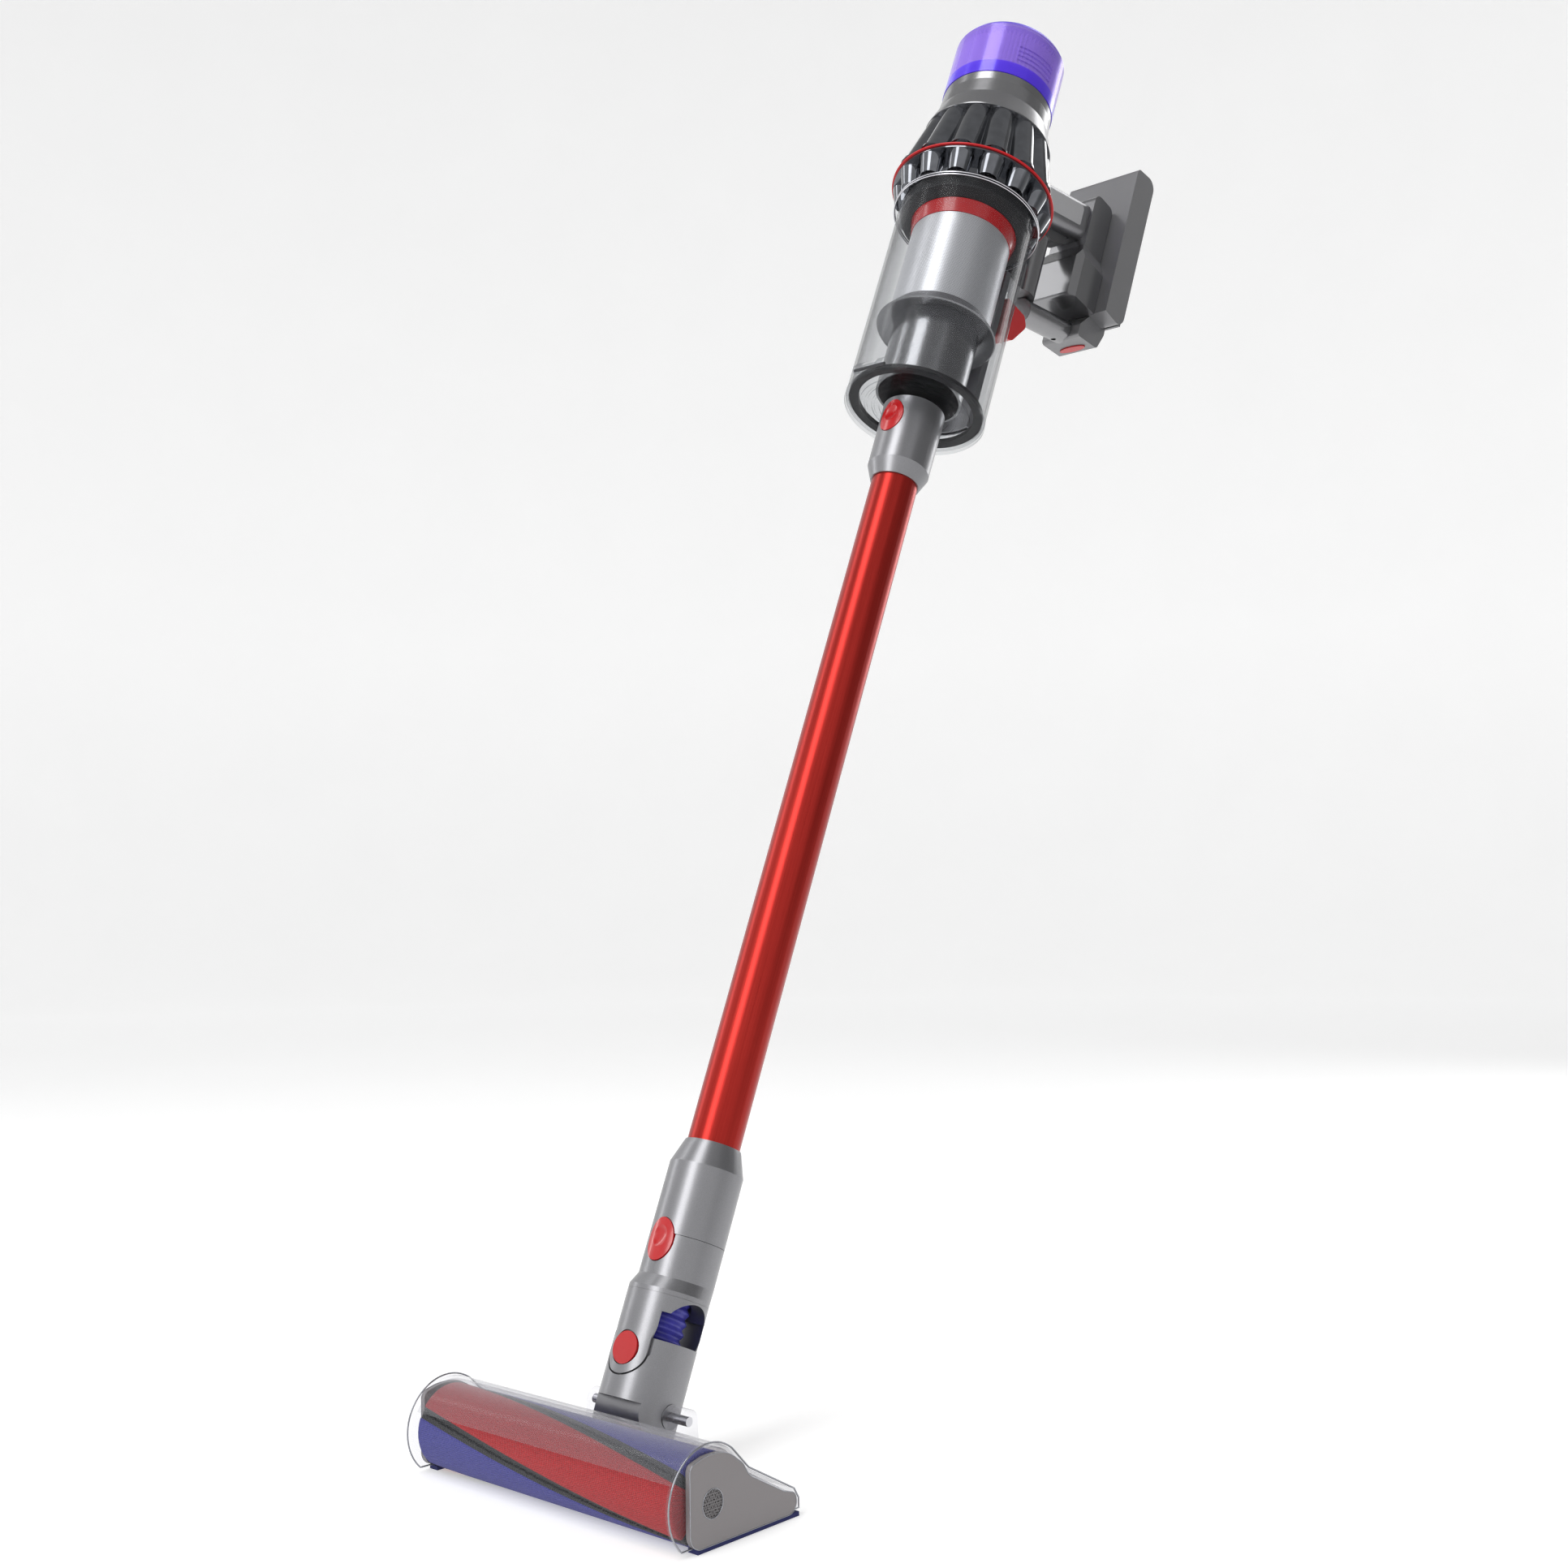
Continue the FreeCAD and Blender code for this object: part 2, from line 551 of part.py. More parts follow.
pins = []
caps = []
for side in (-1, 1):
    inner = S["neckbore"] + 0.3
    length = S["earflat"] + 3.3 - inner
    pins.append(Part.makeCylinder(S["pinradius"], length, V(0, NECK_MID + side * inner,
                                  S["pivotup"]), V(0, side, 0)))
    cap = Part.makeCylinder(S["capradius"], 2.6, V(0, NECK_MID + side * (S["earflat"] + 3.4),
                            S["pivotup"]), V(0, side, 0))
    caps.append(cap)
node(group("swivel_pins", pins), "swivel_pins", WAND)
node(group("swivel_caps", caps), "swivel_caps", WAND)

LOW_BUTTON = S["lowseam"] - 5.0             # middle of the lower release button
SPIGOT = S["spigotradius"]
BORE = SPIGOT - S["spigotwall"]
shoulder = Part.Wire([Part.makeCircle(S["neckradius"], V(0, NECK_MID, 0))])
shoulder.translate(V(0, 0, S["yoketop"]))
low_ring = Part.Wire([Part.makeCircle(S["neckradius"], V(0, NECK_MID, S["yoketop"] + 3))])
top_ring = Part.Wire([Part.makeCircle(S["collarradius"], V(0, 0, S["yoketop"] + 11))])
connector = Part.makeCylinder(S["neckradius"], 3, V(0, NECK_MID, S["yoketop"]))
connector = connector.fuse(Part.makeLoft([low_ring, top_ring], True))
connector = connector.fuse(Part.makeCylinder(S["collarradius"], S["lowseam"] - S["yoketop"] - 11.3,
                                             V(0, 0, S["yoketop"] + 11)))
connector = connector.fuse(Part.makeCylinder(SPIGOT, 36, V(0, 0, S["lowseam"] - 1)))
connector = connector.cut(Part.makeCylinder(BORE, 90, V(0, 0, S["yoketop"] + 4)))
connector = connector.cut(Part.makeCylinder(S["hoseradius"] + S["hoserib"] + 0.5, 14,
                                            V(0, NECK_MID, S["yoketop"] - 4)))
FLAT = SPIGOT - S["presstravel"]            # face of the catch recess under a button
connector = connector.cut(oval_prism(S["buttonwide"] + 1, S["buttontall"] + 1, -40, -FLAT,
                                     LOW_BUTTON))
connector = connector.cut(Part.makeBox(S["buttonwide"] + 1, 20, 60,
                          V(-(S["buttonwide"] + 1) / 2, -FLAT - 20, LOW_BUTTON)))
node(group("head_connector", [connector.removeSplitter()]), "head_connector", WAND)

# ---------------------------------------------------------------------------------------------
# The wand: a metal tube in a collar at each end, with a release button in each collar.
# ---------------------------------------------------------------------------------------------
tube = turned("WandTube", [("tuberadius - tubewall", "tubelow"), ("tuberadius", "tubelow"),
                           ("tuberadius", "tubehigh"), ("tuberadius - tubewall", "tubehigh")])
node(tube, "wand_tube", WAND)

collar = turned("LowerCollar", [
    ("spigotradius + gap", "lowseam"), ("collarradius", "lowseam"),
    ("collarradius", "collartop"), ("tuberadius + 2.0", "collartop + 15"),
    ("tuberadius + 1.2", "collartop + 17"), ("tuberadius + fit", "collartop + 17"),
    ("tuberadius + fit", "tubelow - 1"), ("spigotradius + gap", "tubelow - 1")])
slot = group("LowerSlot", [oval_prism(S["buttonwide"] + 0.6, S["buttontall"] + 0.6, -40, 0,
                                      LOW_BUTTON)])
node(less("LowerCollar", collar, slot), "wand_lower_collar", WAND)

HIGH_BUTTON = S["sockettop"] - 18.0         # middle of the upper release button
socket = turned("UpperSocket", [
    ("tuberadius + fit", "socketlow"), ("tuberadius + 1.2", "socketlow"),
    ("socketradius", "socketlow + 12"), ("socketradius + 0.4", "sockettop"),
    ("spigotradius + gap", "sockettop"), ("spigotradius + gap", "tubehigh + 1"),
    ("tuberadius + fit", "tubehigh + 1")])
slot = group("UpperSlot", [oval_prism(S["buttonwide"] + 0.6, S["buttontall"] + 0.6, -40, 0,
                                      HIGH_BUTTON)])
node(less("UpperSocket", socket, slot), "wand_upper_collar", WAND)


def release_button(level, outer):
    """An oval push button in a collar, with a dished thumb face."""
    shape = oval_prism(S["buttonwide"], S["buttontall"], -outer - 2, -S["spigotradius"] - S["gap"],
                       level)
    skin = Part.makeCylinder(outer + 0.9, 60, V(0, 0, level - 30))
    shape = shape.common(skin)
    shape = shape.cut(Part.makeCylinder(S["tuberadius"] + S["gap"], 80, V(0, 0, level - 40)))
    dish = Part.makeSphere(16, V(0, -outer - 15.2, level + 2))
    return shape.cut(dish)


node(group("head_release_button", [release_button(LOW_BUTTON, S["collarradius"])]),
     "head_release_button", WAND)
node(group("wand_release_button", [release_button(HIGH_BUTTON, S["socketradius"])]),
     "wand_release_button", WAND)

# ---------------------------------------------------------------------------------------------
# The bin: a clear cylinder with a rim and an inlet duct, closed by a base that swings down.
# ---------------------------------------------------------------------------------------------
wall_in = "binradius - binwall"
clear = turned("Bin", [
    (wall_in, "binlow"), ("binradius", "binlow"), ("binradius", "binhigh - 6"),
    ("rimradius", "binhigh - 3"), ("rimradius", "binhigh"), (wall_in, "binhigh")])
HINGE_Y = -S["binradius"] - 4.2
HINGE_Z = S["binlow"] - 1.0
lugs = []
for side in (-1, 1):
    low = 7.0 if side > 0 else -15.0
    lug = Part.makeCylinder(2.8, 8, V(low, HINGE_Y, HINGE_Z), V(1, 0, 0))
    arm = smooth_prism([(HINGE_Y - 2.6, S["binlow"] + 0.4, 0), (-S["binradius"] + 2,
                       S["binlow"] + 0.4, 0), (-S["binradius"] + 2, S["binlow"] + 11, 0),
                       (HINGE_Y - 0.5, S["binlow"] + 5, 2)], low, low + 8)
    lugs.append(lug.fuse(arm))
bores = group("LugBores", [Part.makeCylinder(1.2 + S["fit"], 40, V(-20, HINGE_Y, HINGE_Z),
                                             V(1, 0, 0))])
lug_pair = group("Lugs", lugs)
hollow = turned("BinHollow", [("0", "binlow - 5"), (wall_in, "binlow - 5"), (wall_in, "binhigh + 5"),
                              ("0", "binhigh + 5")])
node(less("BinBody", joined("BinBody", clear, lug_pair), bores, hollow), "dust_bin", WAND)
node(group("base_hinge_pin", [Part.makeCylinder(1.2, 30, V(-15, HINGE_Y, HINGE_Z), V(1, 0, 0))]),
     "base_hinge_pin", WAND)

# The inlet duct runs up the handle side of the bin, as a flat channel on the wall.
DUCT_HALF = 17.0                            # half its angle round the wall, in degrees
duct_out = S["binradius"] - S["binwall"] - S["fit"]
duct_in = duct_out - 5.0


def sector(outer, inner, low, high, half, towards=90.0):
    """Part of a ring between two radii and two heights, centred on a direction in degrees."""
    ring = Part.makeCylinder(outer, high - low, V(0, 0, low), V(0, 0, 1), 2 * half)
    ring = ring.cut(Part.makeCylinder(inner, high - low + 2, V(0, 0, low - 1)))
    ring.rotate(V(0, 0, 0), V(0, 0, 1), towards - half)
    return ring


channel = sector(duct_out, duct_in, S["binlow"] + 14, S["meshhigh"] + 6, DUCT_HALF)
channel = channel.cut(sector(duct_out - 1.2, duct_in + 1.2, S["binlow"] + 12, S["meshhigh"] + 8,
                             DUCT_HALF - 1.6))
node(group("inlet_duct", [channel]), "inlet_duct", WAND)

# The base: a ribbed clear disc with the inlet spigot in its middle, and a dark seal on top.
disc = turned("Base", [
    (f"spigotradius - spigotwall", "sockettop - 28"), ("spigotradius", "sockettop - 28"),
    ("spigotradius", "binlow - 3.0"), ("binradius + 0.6", "binlow - 3.0"),
    ("binradius + 0.6", "binlow - 0.3"), ("binradius - binwall - 0.6", "binlow - 0.3"),
    ("binradius - binwall - 0.6", "binlow + 1.5"), ("spigotradius - spigotwall", "binlow + 1.5")])
knuckle = Part.makeCylinder(2.6, 13, V(-6.5, HINGE_Y, HINGE_Z), V(1, 0, 0))
leaf = Part.makeBox(13, 8, 2.2, V(-6.5, HINGE_Y - 0.5, HINGE_Z - 1.9))
tongue = group("BaseTongue", [knuckle.fuse(leaf)])
pin_hole = group("TongueBore", [Part.makeCylinder(1.2 + S["running"], 40, V(-20, HINGE_Y, HINGE_Z),
                                                  V(1, 0, 0))])
rib_cuts = []
for inner, outer in ((29.0, 33.0), (35.0, 39.0), (41.0, 45.0)):
    ring = Part.makeCylinder(outer, 2.0, V(0, 0, S["binlow"] - 3.5))
    rib_cuts.append(ring.cut(Part.makeCylinder(inner, 4, V(0, 0, S["binlow"] - 4.5))))
ribs_tool = group("RibGrooves", rib_cuts)
catch_flat = group("CatchFlat", [oval_prism(S["buttonwide"], S["buttontall"], -40, -FLAT,
                                            HIGH_BUTTON).common(
    Part.makeBox(60, 40, 40, V(-30, -40, S["sockettop"] - 40)))])
base = less("BaseBody", joined("BaseBody", disc, tongue), pin_hole, ribs_tool, catch_flat)
node(base, "bin_base", WAND)
seal = turned("BaseSeal", [
    ("binradius - binwall - 8", "binlow + 1.6"), ("binradius - binwall - 0.5", "binlow + 1.6"),
    ("binradius - binwall - 0.4", "binlow + 4.5"), ("binradius - binwall - 8", "binlow + 5.5")])
node(seal, "bin_base_seal", WAND)

# ---------------------------------------------------------------------------------------------
# The shroud inside the bin: a skirt, a flared lip, a fine metal mesh and a red ring.
# ---------------------------------------------------------------------------------------------
notch = group("DuctNotch", [sector(80, duct_in - 1.0, S["skirtlow"] - 5, S["ringhigh"] - 4,
                                   DUCT_HALF + 1.5)])
skirt = turned("Skirt", [
    ("skirtradius - 2", "skirtlow"), ("skirtradius", "skirtlow"), ("skirtradius", "flarelevel - 8"),
    ("flareradius - 1", "flarelevel - 12"), ("flareradius", "flarelevel - 11"),
    ("meshradius", "flarelevel"), ("skirtradius - 2", "flarelevel")])
node(less("SkirtBody", skirt, notch), "shroud_skirt", WAND)
mesh_wall = turned("Mesh", [
    ("meshradius - 1.2", "flarelevel + fit"), ("meshradius", "flarelevel + fit"),
    ("meshradius", "meshhigh"), ("meshradius - 1.2", "meshhigh")])
node(mesh_wall, "shroud_mesh", WAND)
red_ring = turned("RedRing", [
    ("meshradius - 1.2", "meshhigh + fit"), ("meshradius + 0.6", "meshhigh + fit"),
    ("ringradius", "ringhigh"), ("meshradius - 1.2", "ringhigh")])
node(red_ring, "shroud_ring", WAND)
top_seal = turned("TopSeal", [
    ("meshradius - 1.2", "ringhigh + fit"), ("ringradius + 1", "ringhigh + fit"),
    ("binradius - binwall - 1", "ringhigh + 4"), ("binradius - binwall - gap", "ringhigh + 6"),
    ("binradius - binwall - gap", "binhigh + 2"), ("meshradius - 1.2", "binhigh + 2")])
node(top_seal, "bin_top_seal", WAND)

# ---------------------------------------------------------------------------------------------
# The cyclones: a ring of cones, their tips below a red gasket and their bodies above it.
# ---------------------------------------------------------------------------------------------
COUNT = int(S["cyclones"])
GASKET = S["gasketlevel"]
BIN_TOP = S["binhigh"]


def leaning_cone(low_at, high_at, low_radius, high_radius, turn):
    """A cone between two points of (radius, height), turned about the wand axis."""
    start = V(low_at[0], 0, low_at[1])
    run = V(high_at[0], 0, high_at[1]) - start
    if abs(low_radius - high_radius) < 1e-6:
        cone = Part.makeCylinder(low_radius, run.Length, start, run)
    else:
        cone = Part.makeCone(low_radius, high_radius, run.Length, start, run)
    cone.rotate(V(0, 0, 0), V(0, 0, 1), turn)
    return cone


def ring_of(low_at, high_at, low_radius, high_radius):
    return [leaning_cone(low_at, high_at, low_radius, high_radius, 360.0 * (i + 0.5) / COUNT)
            for i in range(COUNT)]


plate_low = Part.makeCylinder(S["gasketradius"] - 1.5, 2.5, V(0, 0, GASKET - 3.0))
hub_low = Part.makeCylinder(S["binradius"] - 1, GASKET - 3 - BIN_TOP - 2.2, V(0, 0, BIN_TOP + 2.1))
lower = plate_low.fuse(hub_low)
for cone in ring_of((53.5, BIN_TOP + 2.2), (56.4, GASKET - 1.0), 8.8, 11.2):
    lower = lower.fuse(cone)
lower = lower.common(Part.makeCylinder(90, GASKET - 0.5 - BIN_TOP - 2.1, V(0, 0, BIN_TOP + 2.1)))
for hollow_cone in ring_of((53.6, BIN_TOP + 5), (56.4, GASKET + 3), 6.6, 9.4):
    lower = lower.cut(hollow_cone)
lower = lower.cut(Part.makeCylinder(34, 60, V(0, 0, BIN_TOP - 5)))
node(group("cyclone_tips", [lower.removeSplitter()]), "cyclone_tips", WAND)

gasket = Part.makeCylinder(S["gasketradius"], 0.9, V(0, 0, GASKET - 0.45))
gasket = gasket.cut(Part.makeCylinder(34, 3, V(0, 0, GASKET - 1.5)))
for hollow_cone in ring_of((56.4, GASKET - 3), (56.4, GASKET + 3), 8.6, 8.6):
    gasket = gasket.cut(hollow_cone)
node(group("cyclone_gasket", [gasket]), "cyclone_gasket", WAND)

DOME_TOP = GASKET + 77.0
SKIRT = S["skirtlevel"]                     # where the housing's skirt covers the cyclone bodies
upper = Part.makeCylinder(S["gasketradius"] - 4.5, 2.4, V(0, 0, GASKET + 0.5))
upper = upper.fuse(Part.makeCone(58, 48, 60, V(0, 0, GASKET + 2)))
for cone in ring_of((56.4, GASKET - 2), (36.2, DOME_TOP), 12.2, 12.4):
    upper = upper.fuse(cone)
for flange in ring_of((56.4, GASKET + 0.5), (55.6, GASKET + 3.3), 12.9, 12.9):
    upper = upper.fuse(flange)
upper = upper.common(Part.makeCylinder(90, SKIRT - S["fit"] - GASKET - 0.5, V(0, 0, GASKET + 0.5)))
housing_space = Part.makeCylinder(S["corebody"] + S["fit"], 120, V(0, 0, GASKET - 10))
upper = upper.cut(housing_space)
node(group("cyclone_bodies", [upper.removeSplitter()]), "cyclone_bodies", WAND)

# ---------------------------------------------------------------------------------------------
# The motor in its housing, the filter round it and the control face at the end.
# ---------------------------------------------------------------------------------------------
housing = turned("Housing", [
    ("corebody - 2", "housinglow"), ("corebody", "housinglow"), ("corebody", "skirtlevel"),
    ("skirtwide", "skirtlevel"), ("skirtwide", "skirtlevel + 1"),
    ("housingradius + 1.4", "skirtlevel + 20"), ("housingradius", "filterlow - 8"),
    ("housingradius", "filterlow - 0.3"), ("housingradius - 3", "filterlow - 0.3"),
    ("housingradius - 3", "filterlow + 4"), ("housingradius - 5", "filterlow + 4"),
    ("coreface + 2", "filterlow + 6"), ("coreface - fit", "filterlow + 7"),
    ("coreface - fit", "filterhigh - 7"), ("coreface - 2", "filterhigh - 7"),
    ("coreface - 2", "filterlow + 3"), ("housingradius - 5", "filterlow + 1"),
    ("housingradius - 5", "skirtlevel + 2"), ("corebody - 2", "skirtlevel + 1")])
node(housing, "motor_housing", WAND)
MOTOR_LOW = S["housinglow"] + 42
stator = turned("Stator", [
    ("19", "housinglow + 42"), ("34", "housinglow + 42"), ("34", "housinglow + 72"),
    ("19", "housinglow + 72")])
node(stator, "motor_stator", WAND)
rotor = Part.makeCylinder(18.4, 28, V(0, 0, MOTOR_LOW + 1))
rotor = rotor.fuse(Part.makeCylinder(2.5, 66, V(0, 0, MOTOR_LOW - 26)))
node(group("motor_rotor", [rotor.removeSplitter()]), "motor_rotor", WAND)
blades = []
for i in range(9):
    blade = Part.makeBox(26, 1.4, 15, V(4, -0.7, MOTOR_LOW - 22))
    blade.rotate(V(0, 0, 0), V(0, 0, 1), i * 40.0)
    blades.append(blade)
impeller = Part.makeCone(30, 8, 5, V(0, 0, MOTOR_LOW - 22)).fuse(blades)
impeller = impeller.common(Part.makeCone(30, 20, 15, V(0, 0, MOTOR_LOW - 22)))
impeller = impeller.cut(Part.makeCylinder(2.5 + S["fit"], 40, V(0, 0, MOTOR_LOW - 30)))
node(group("impeller", [impeller.removeSplitter()]), "impeller", WAND)
bearings = []
for level in (MOTOR_LOW - 6, MOTOR_LOW + 32):
    bearing = Part.makeCylinder(8, 5, V(0, 0, level))
    bearings.append(bearing.cut(Part.makeCylinder(2.5 + S["running"], 7, V(0, 0, level - 1))))
node(group("motor_bearings", bearings), "motor_bearings", WAND)
frame_plates = []
for level in (MOTOR_LOW - 6, MOTOR_LOW + 32):
    plate = Part.makeCylinder(S["housingradius"] - 5.4, 4.6, V(0, 0, level + 0.2))
    plate = plate.cut(Part.makeCylinder(8 + S["fit"], 8, V(0, 0, level - 2)))
    for i in range(6):
        turn = math.radians(60 * i)
        plate = plate.cut(Part.makeCylinder(8, 8, V(26 * math.cos(turn), 26 * math.sin(turn),
                                                    level - 2)))
    frame_plates.append(plate)
node(group("motor_brackets", frame_plates), "motor_brackets", WAND)

shell = turned("FilterShell", [
    ("filterradius - 2", "filterlow"), ("filterradius", "filterlow"),
    ("filterradius", "filterhigh - 5"), ("filterradius - 2", "filterhigh - 1.5"),
    ("filterradius - 6", "filterhigh"), ("coreface + 1", "filterhigh"),
    ("coreface + 1", "filterhigh - 2"), ("filterradius - 6", "filterhigh - 2"),
    ("filterradius - 2", "filterhigh - 6")])
vents = []
for row in range(4):
    level = S["filterlow"] + 16 + 4.6 * row
    for i in range(2):
        low_turn = 4.0 + i * 180.0
        cutter = Part.makeCylinder(S["filterradius"] + 2, 1.3, V(0, 0, level), V(0, 0, 1), 44.0)
        cutter = cutter.cut(Part.makeCylinder(S["filterradius"] - 4, 3, V(0, 0, level - 1)))
        cutter.rotate(V(0, 0, 0), V(0, 0, 1), low_turn - 44.0)
        vents.append(cutter)
node(less("FilterBody", shell, group("Vents", vents)), "filter_shell", WAND)
media = turned("Media", [
    ("coreface + 5", "filterlow + 9"), ("filterradius - 2.4", "filterlow + 9"),
    ("filterradius - 2.4", "filterhigh - 8"), ("coreface + 5", "filterhigh - 8")])
node(media, "filter_media", WAND)
face = turned("ControlFace", [
    ("0", "filterhigh - 6.9"), ("coreface - fit", "filterhigh - 6.9"),
    ("coreface - fit", "filterhigh - 1"), ("coreface - 2", "filterhigh + 0.5"),
    ("9.3", "filterhigh + 0.5"), ("9.3", "filterhigh - 3.4"), ("0", "filterhigh - 3.4")])
node(face, "control_face", WAND)
mode = turned("ModeButton", [
    ("0", "filterhigh - 1.2"), ("9", "filterhigh - 1.2"), ("9", "filterhigh + 1.2"),
    ("8", "filterhigh + 1.8"), ("0", "filterhigh + 2.2")])
node(mode, "mode_button", WAND)

# ---------------------------------------------------------------------------------------------
# The handle: a sloping grip in two shells, a foot that holds the battery, and a strut that
# closes the loop in front of the fingers.
# ---------------------------------------------------------------------------------------------
slope = math.radians(S["gripslope"])
GRIP_Y = 47.5
GRIP_Z = S["housinglow"] + 43.5
GRIP_END = 133.0


def along_grip(y):
    """Height of the grip's middle at a distance behind the wand axis."""
    return GRIP_Z + (y - GRIP_Y) * math.tan(slope)


half_tall = S["griptall"] / 2
TRIGGER_Y = 92.0
TRIGGER_Z = along_grip(TRIGGER_Y) - half_tall + 4.0
grip_points = [(40, along_grip(40) - half_tall - 1, 0), (GRIP_END, along_grip(GRIP_END)
               - half_tall - 1, 0), (GRIP_END, along_grip(GRIP_END) + half_tall, 0),
               (40, along_grip(40) + half_tall, 0)]
grip = smooth_prism(grip_points, -S["gripwide"] / 2, S["gripwide"] / 2)
long_edges = [e for e in grip.Edges if abs(abs(e.tangentAt(e.FirstParameter).y)
              - math.cos(slope)) < 0.01]
grip = grip.makeFillet(9.0, long_edges)
grip = grip.cut(Part.makeCylinder(S["housingradius"] + S["fit"], 200, V(0, 0, S["housinglow"])))
# the housing's skirt and the two cones above it, grown by the fit between pieces
cone_from = V(S["skirtwide"] + S["fit"], SKIRT + 1)
cone_mid = V(S["housingradius"] + 1.4 + S["fit"], SKIRT + 20)
cone_end = V(S["housingradius"] + S["fit"], S["filterlow"] - 8)
grip = grip.cut(Part.makeCylinder(cone_from.x, 1 + S["fit"], V(0, 0, SKIRT - S["fit"])))
for start, end in ((cone_from, cone_mid), (cone_mid, cone_end)):
    grip = grip.cut(Part.makeCone(start.x, end.x, end.y - start.y, V(0, 0, start.y)))
grip = grip.cut(upper)
hollow_points = [(60, along_grip(60) - half_tall + 2, 4), (GRIP_END - 6, along_grip(GRIP_END - 6)
                 - half_tall + 2, 4), (GRIP_END - 6, along_grip(GRIP_END - 6) + half_tall - 3, 4),
                 (60, along_grip(60) + half_tall - 3, 4)]
cavity = smooth_prism(hollow_points, -S["gripwide"] / 2 + 3, S["gripwide"] / 2 - 3)
grip = grip.cut(cavity)
trigger_slot = smooth_prism([(86, along_grip(86) - half_tall - 8, 0), (124, along_grip(124)
                            - half_tall - 8, 0), (124, along_grip(124) - half_tall + 4, 0),
                            (86, along_grip(86) - half_tall + 10, 0)], -7.5, 7.5)
grip = grip.cut(trigger_slot)
inlay_points = [(70, along_grip(70) - 9, 3), (124, along_grip(124) - 9, 3),
                (124, along_grip(124) + 12, 3), (70, along_grip(70) + 12, 3)]
inlays = []
for side in (-1, 1):
    face_x = S["gripwide"] / 2
    low = face_x - 1.2 if side > 0 else -face_x - 0.1
    pocket = smooth_prism(inlay_points, low - 0.1, low + 1.4)
    grip = grip.cut(pocket)
    low = face_x - 1.15 if side > 0 else -face_x + 0.05
    inlays.append(smooth_prism(inlay_points, low, low + 1.1))
grip = grip.cut(Part.makeCylinder(1.5 + S["fit"], 20, V(-10, TRIGGER_Y, TRIGGER_Z), V(1, 0, 0)))
split = 0.05
left_half = grip.cut(Part.makeBox(60, 200, 300, V(-split, 0, S["housinglow"])))
right_half = grip.cut(Part.makeBox(60, 200, 300, V(-60 + split, 0, S["housinglow"])))
node(group("grip_shell_left", left_half.Solids), "grip_shell_left", WAND)
node(group("grip_shell_right", right_half.Solids), "grip_shell_right", WAND)
node(group("grip_inlays", inlays), "grip_inlays", WAND)
board = smooth_prism([(66, along_grip(66) - 6, 0), (118, along_grip(118) - 6, 0),
                      (118, along_grip(118) - 4.4, 0), (66, along_grip(66) - 4.4, 0)], -10, 10)
node(group("control_board", [board]), "control_board", WAND)

# The trigger hangs on a cross pin in the grip and pulls up into it.
trigger = smooth_prism([(TRIGGER_Y - 5, TRIGGER_Z - 10, 3), (104, TRIGGER_Z - 12, 10),
                        (121, along_grip(121) - half_tall - 9, 4),
                        (121, along_grip(121) - half_tall - 0.5, 0),
                        (TRIGGER_Y - 4, TRIGGER_Z + 3.5, 0)], -7, 7)
trigger = trigger.cut(Part.makeCylinder(1.5 + S["running"], 30, V(-15, TRIGGER_Y, TRIGGER_Z),
                                        V(1, 0, 0)))
node(group("trigger", [trigger]), "trigger", WAND)
trigger_pin = Part.makeCylinder(1.5, 18, V(-9, TRIGGER_Y, TRIGGER_Z), V(1, 0, 0))
node(group("trigger_pin", [trigger_pin]), "trigger_pin", WAND)

# The foot of the grip, against the battery. Heights here follow the underside of the battery.
PACK_LOW = S["packlow"]
FOOT_BACK = S["packback"] - S["gap"]
FOOT_FRONT = GRIP_END + S["fit"]
STEP_UP = PACK_LOW + 55                     # where the wide lower part of the foot ends
foot = smooth_prism([(FOOT_FRONT, STEP_UP, 0), (FOOT_FRONT, PACK_LOW + 115, 9),
                     (FOOT_BACK, PACK_LOW + 117, 6), (FOOT_BACK, STEP_UP, 0)], -19, 19)
lower = smooth_prism([(FOOT_FRONT - 9, PACK_LOW - 5, 3), (FOOT_FRONT - 9, PACK_LOW + 38, 6),
                      (FOOT_FRONT, STEP_UP + 3, 6), (FOOT_BACK, STEP_UP + 3, 0),
                      (FOOT_BACK, PACK_LOW - 1, 0)], -25, 25)
# the wide part slopes in to the narrow part above it, and its front corners are bevelled
shoulder = [V(-25, 0, PACK_LOW - 20), V(25, 0, PACK_LOW - 20), V(25, 0, PACK_LOW + 40),
            V(19, 0, STEP_UP + 1), V(19, 0, STEP_UP + 4), V(-19, 0, STEP_UP + 4),
            V(-19, 0, STEP_UP + 1), V(-25, 0, PACK_LOW + 40), V(-25, 0, PACK_LOW - 20)]
lower = lower.common(Part.Face(Part.makePolygon(shoulder)).extrude(V(0, FOOT_BACK + 5, 0)))
bevel = [V(-25, FOOT_BACK, 0), V(25, FOOT_BACK, 0), V(25, FOOT_FRONT - 3, 0),
         V(20, FOOT_FRONT - 9, 0), V(-20, FOOT_FRONT - 9, 0), V(-25, FOOT_FRONT - 3, 0),
         V(-25, FOOT_BACK, 0)]
lower = lower.common(Part.Face(Part.makePolygon(bevel)).extrude(V(0, 0, 2 * PACK_LOW)))
foot = foot.fuse(lower)
NOSE_HALF = 19.0
NOSE_FRONT = 153.0
NOSE_TOP = [(NOSE_FRONT, PACK_LOW - 16), (S["packback"] + 4, PACK_LOW + 3)]
nose_space = smooth_prism([(NOSE_FRONT - 0.6, PACK_LOW - 30, 0), (NOSE_FRONT - 0.6, PACK_LOW - 15.2, 0),
                           (S["packback"] + 4, PACK_LOW + 4.2, 0),
                           (S["packback"] + 4, PACK_LOW - 30, 0)], -NOSE_HALF - 1, NOSE_HALF + 1)
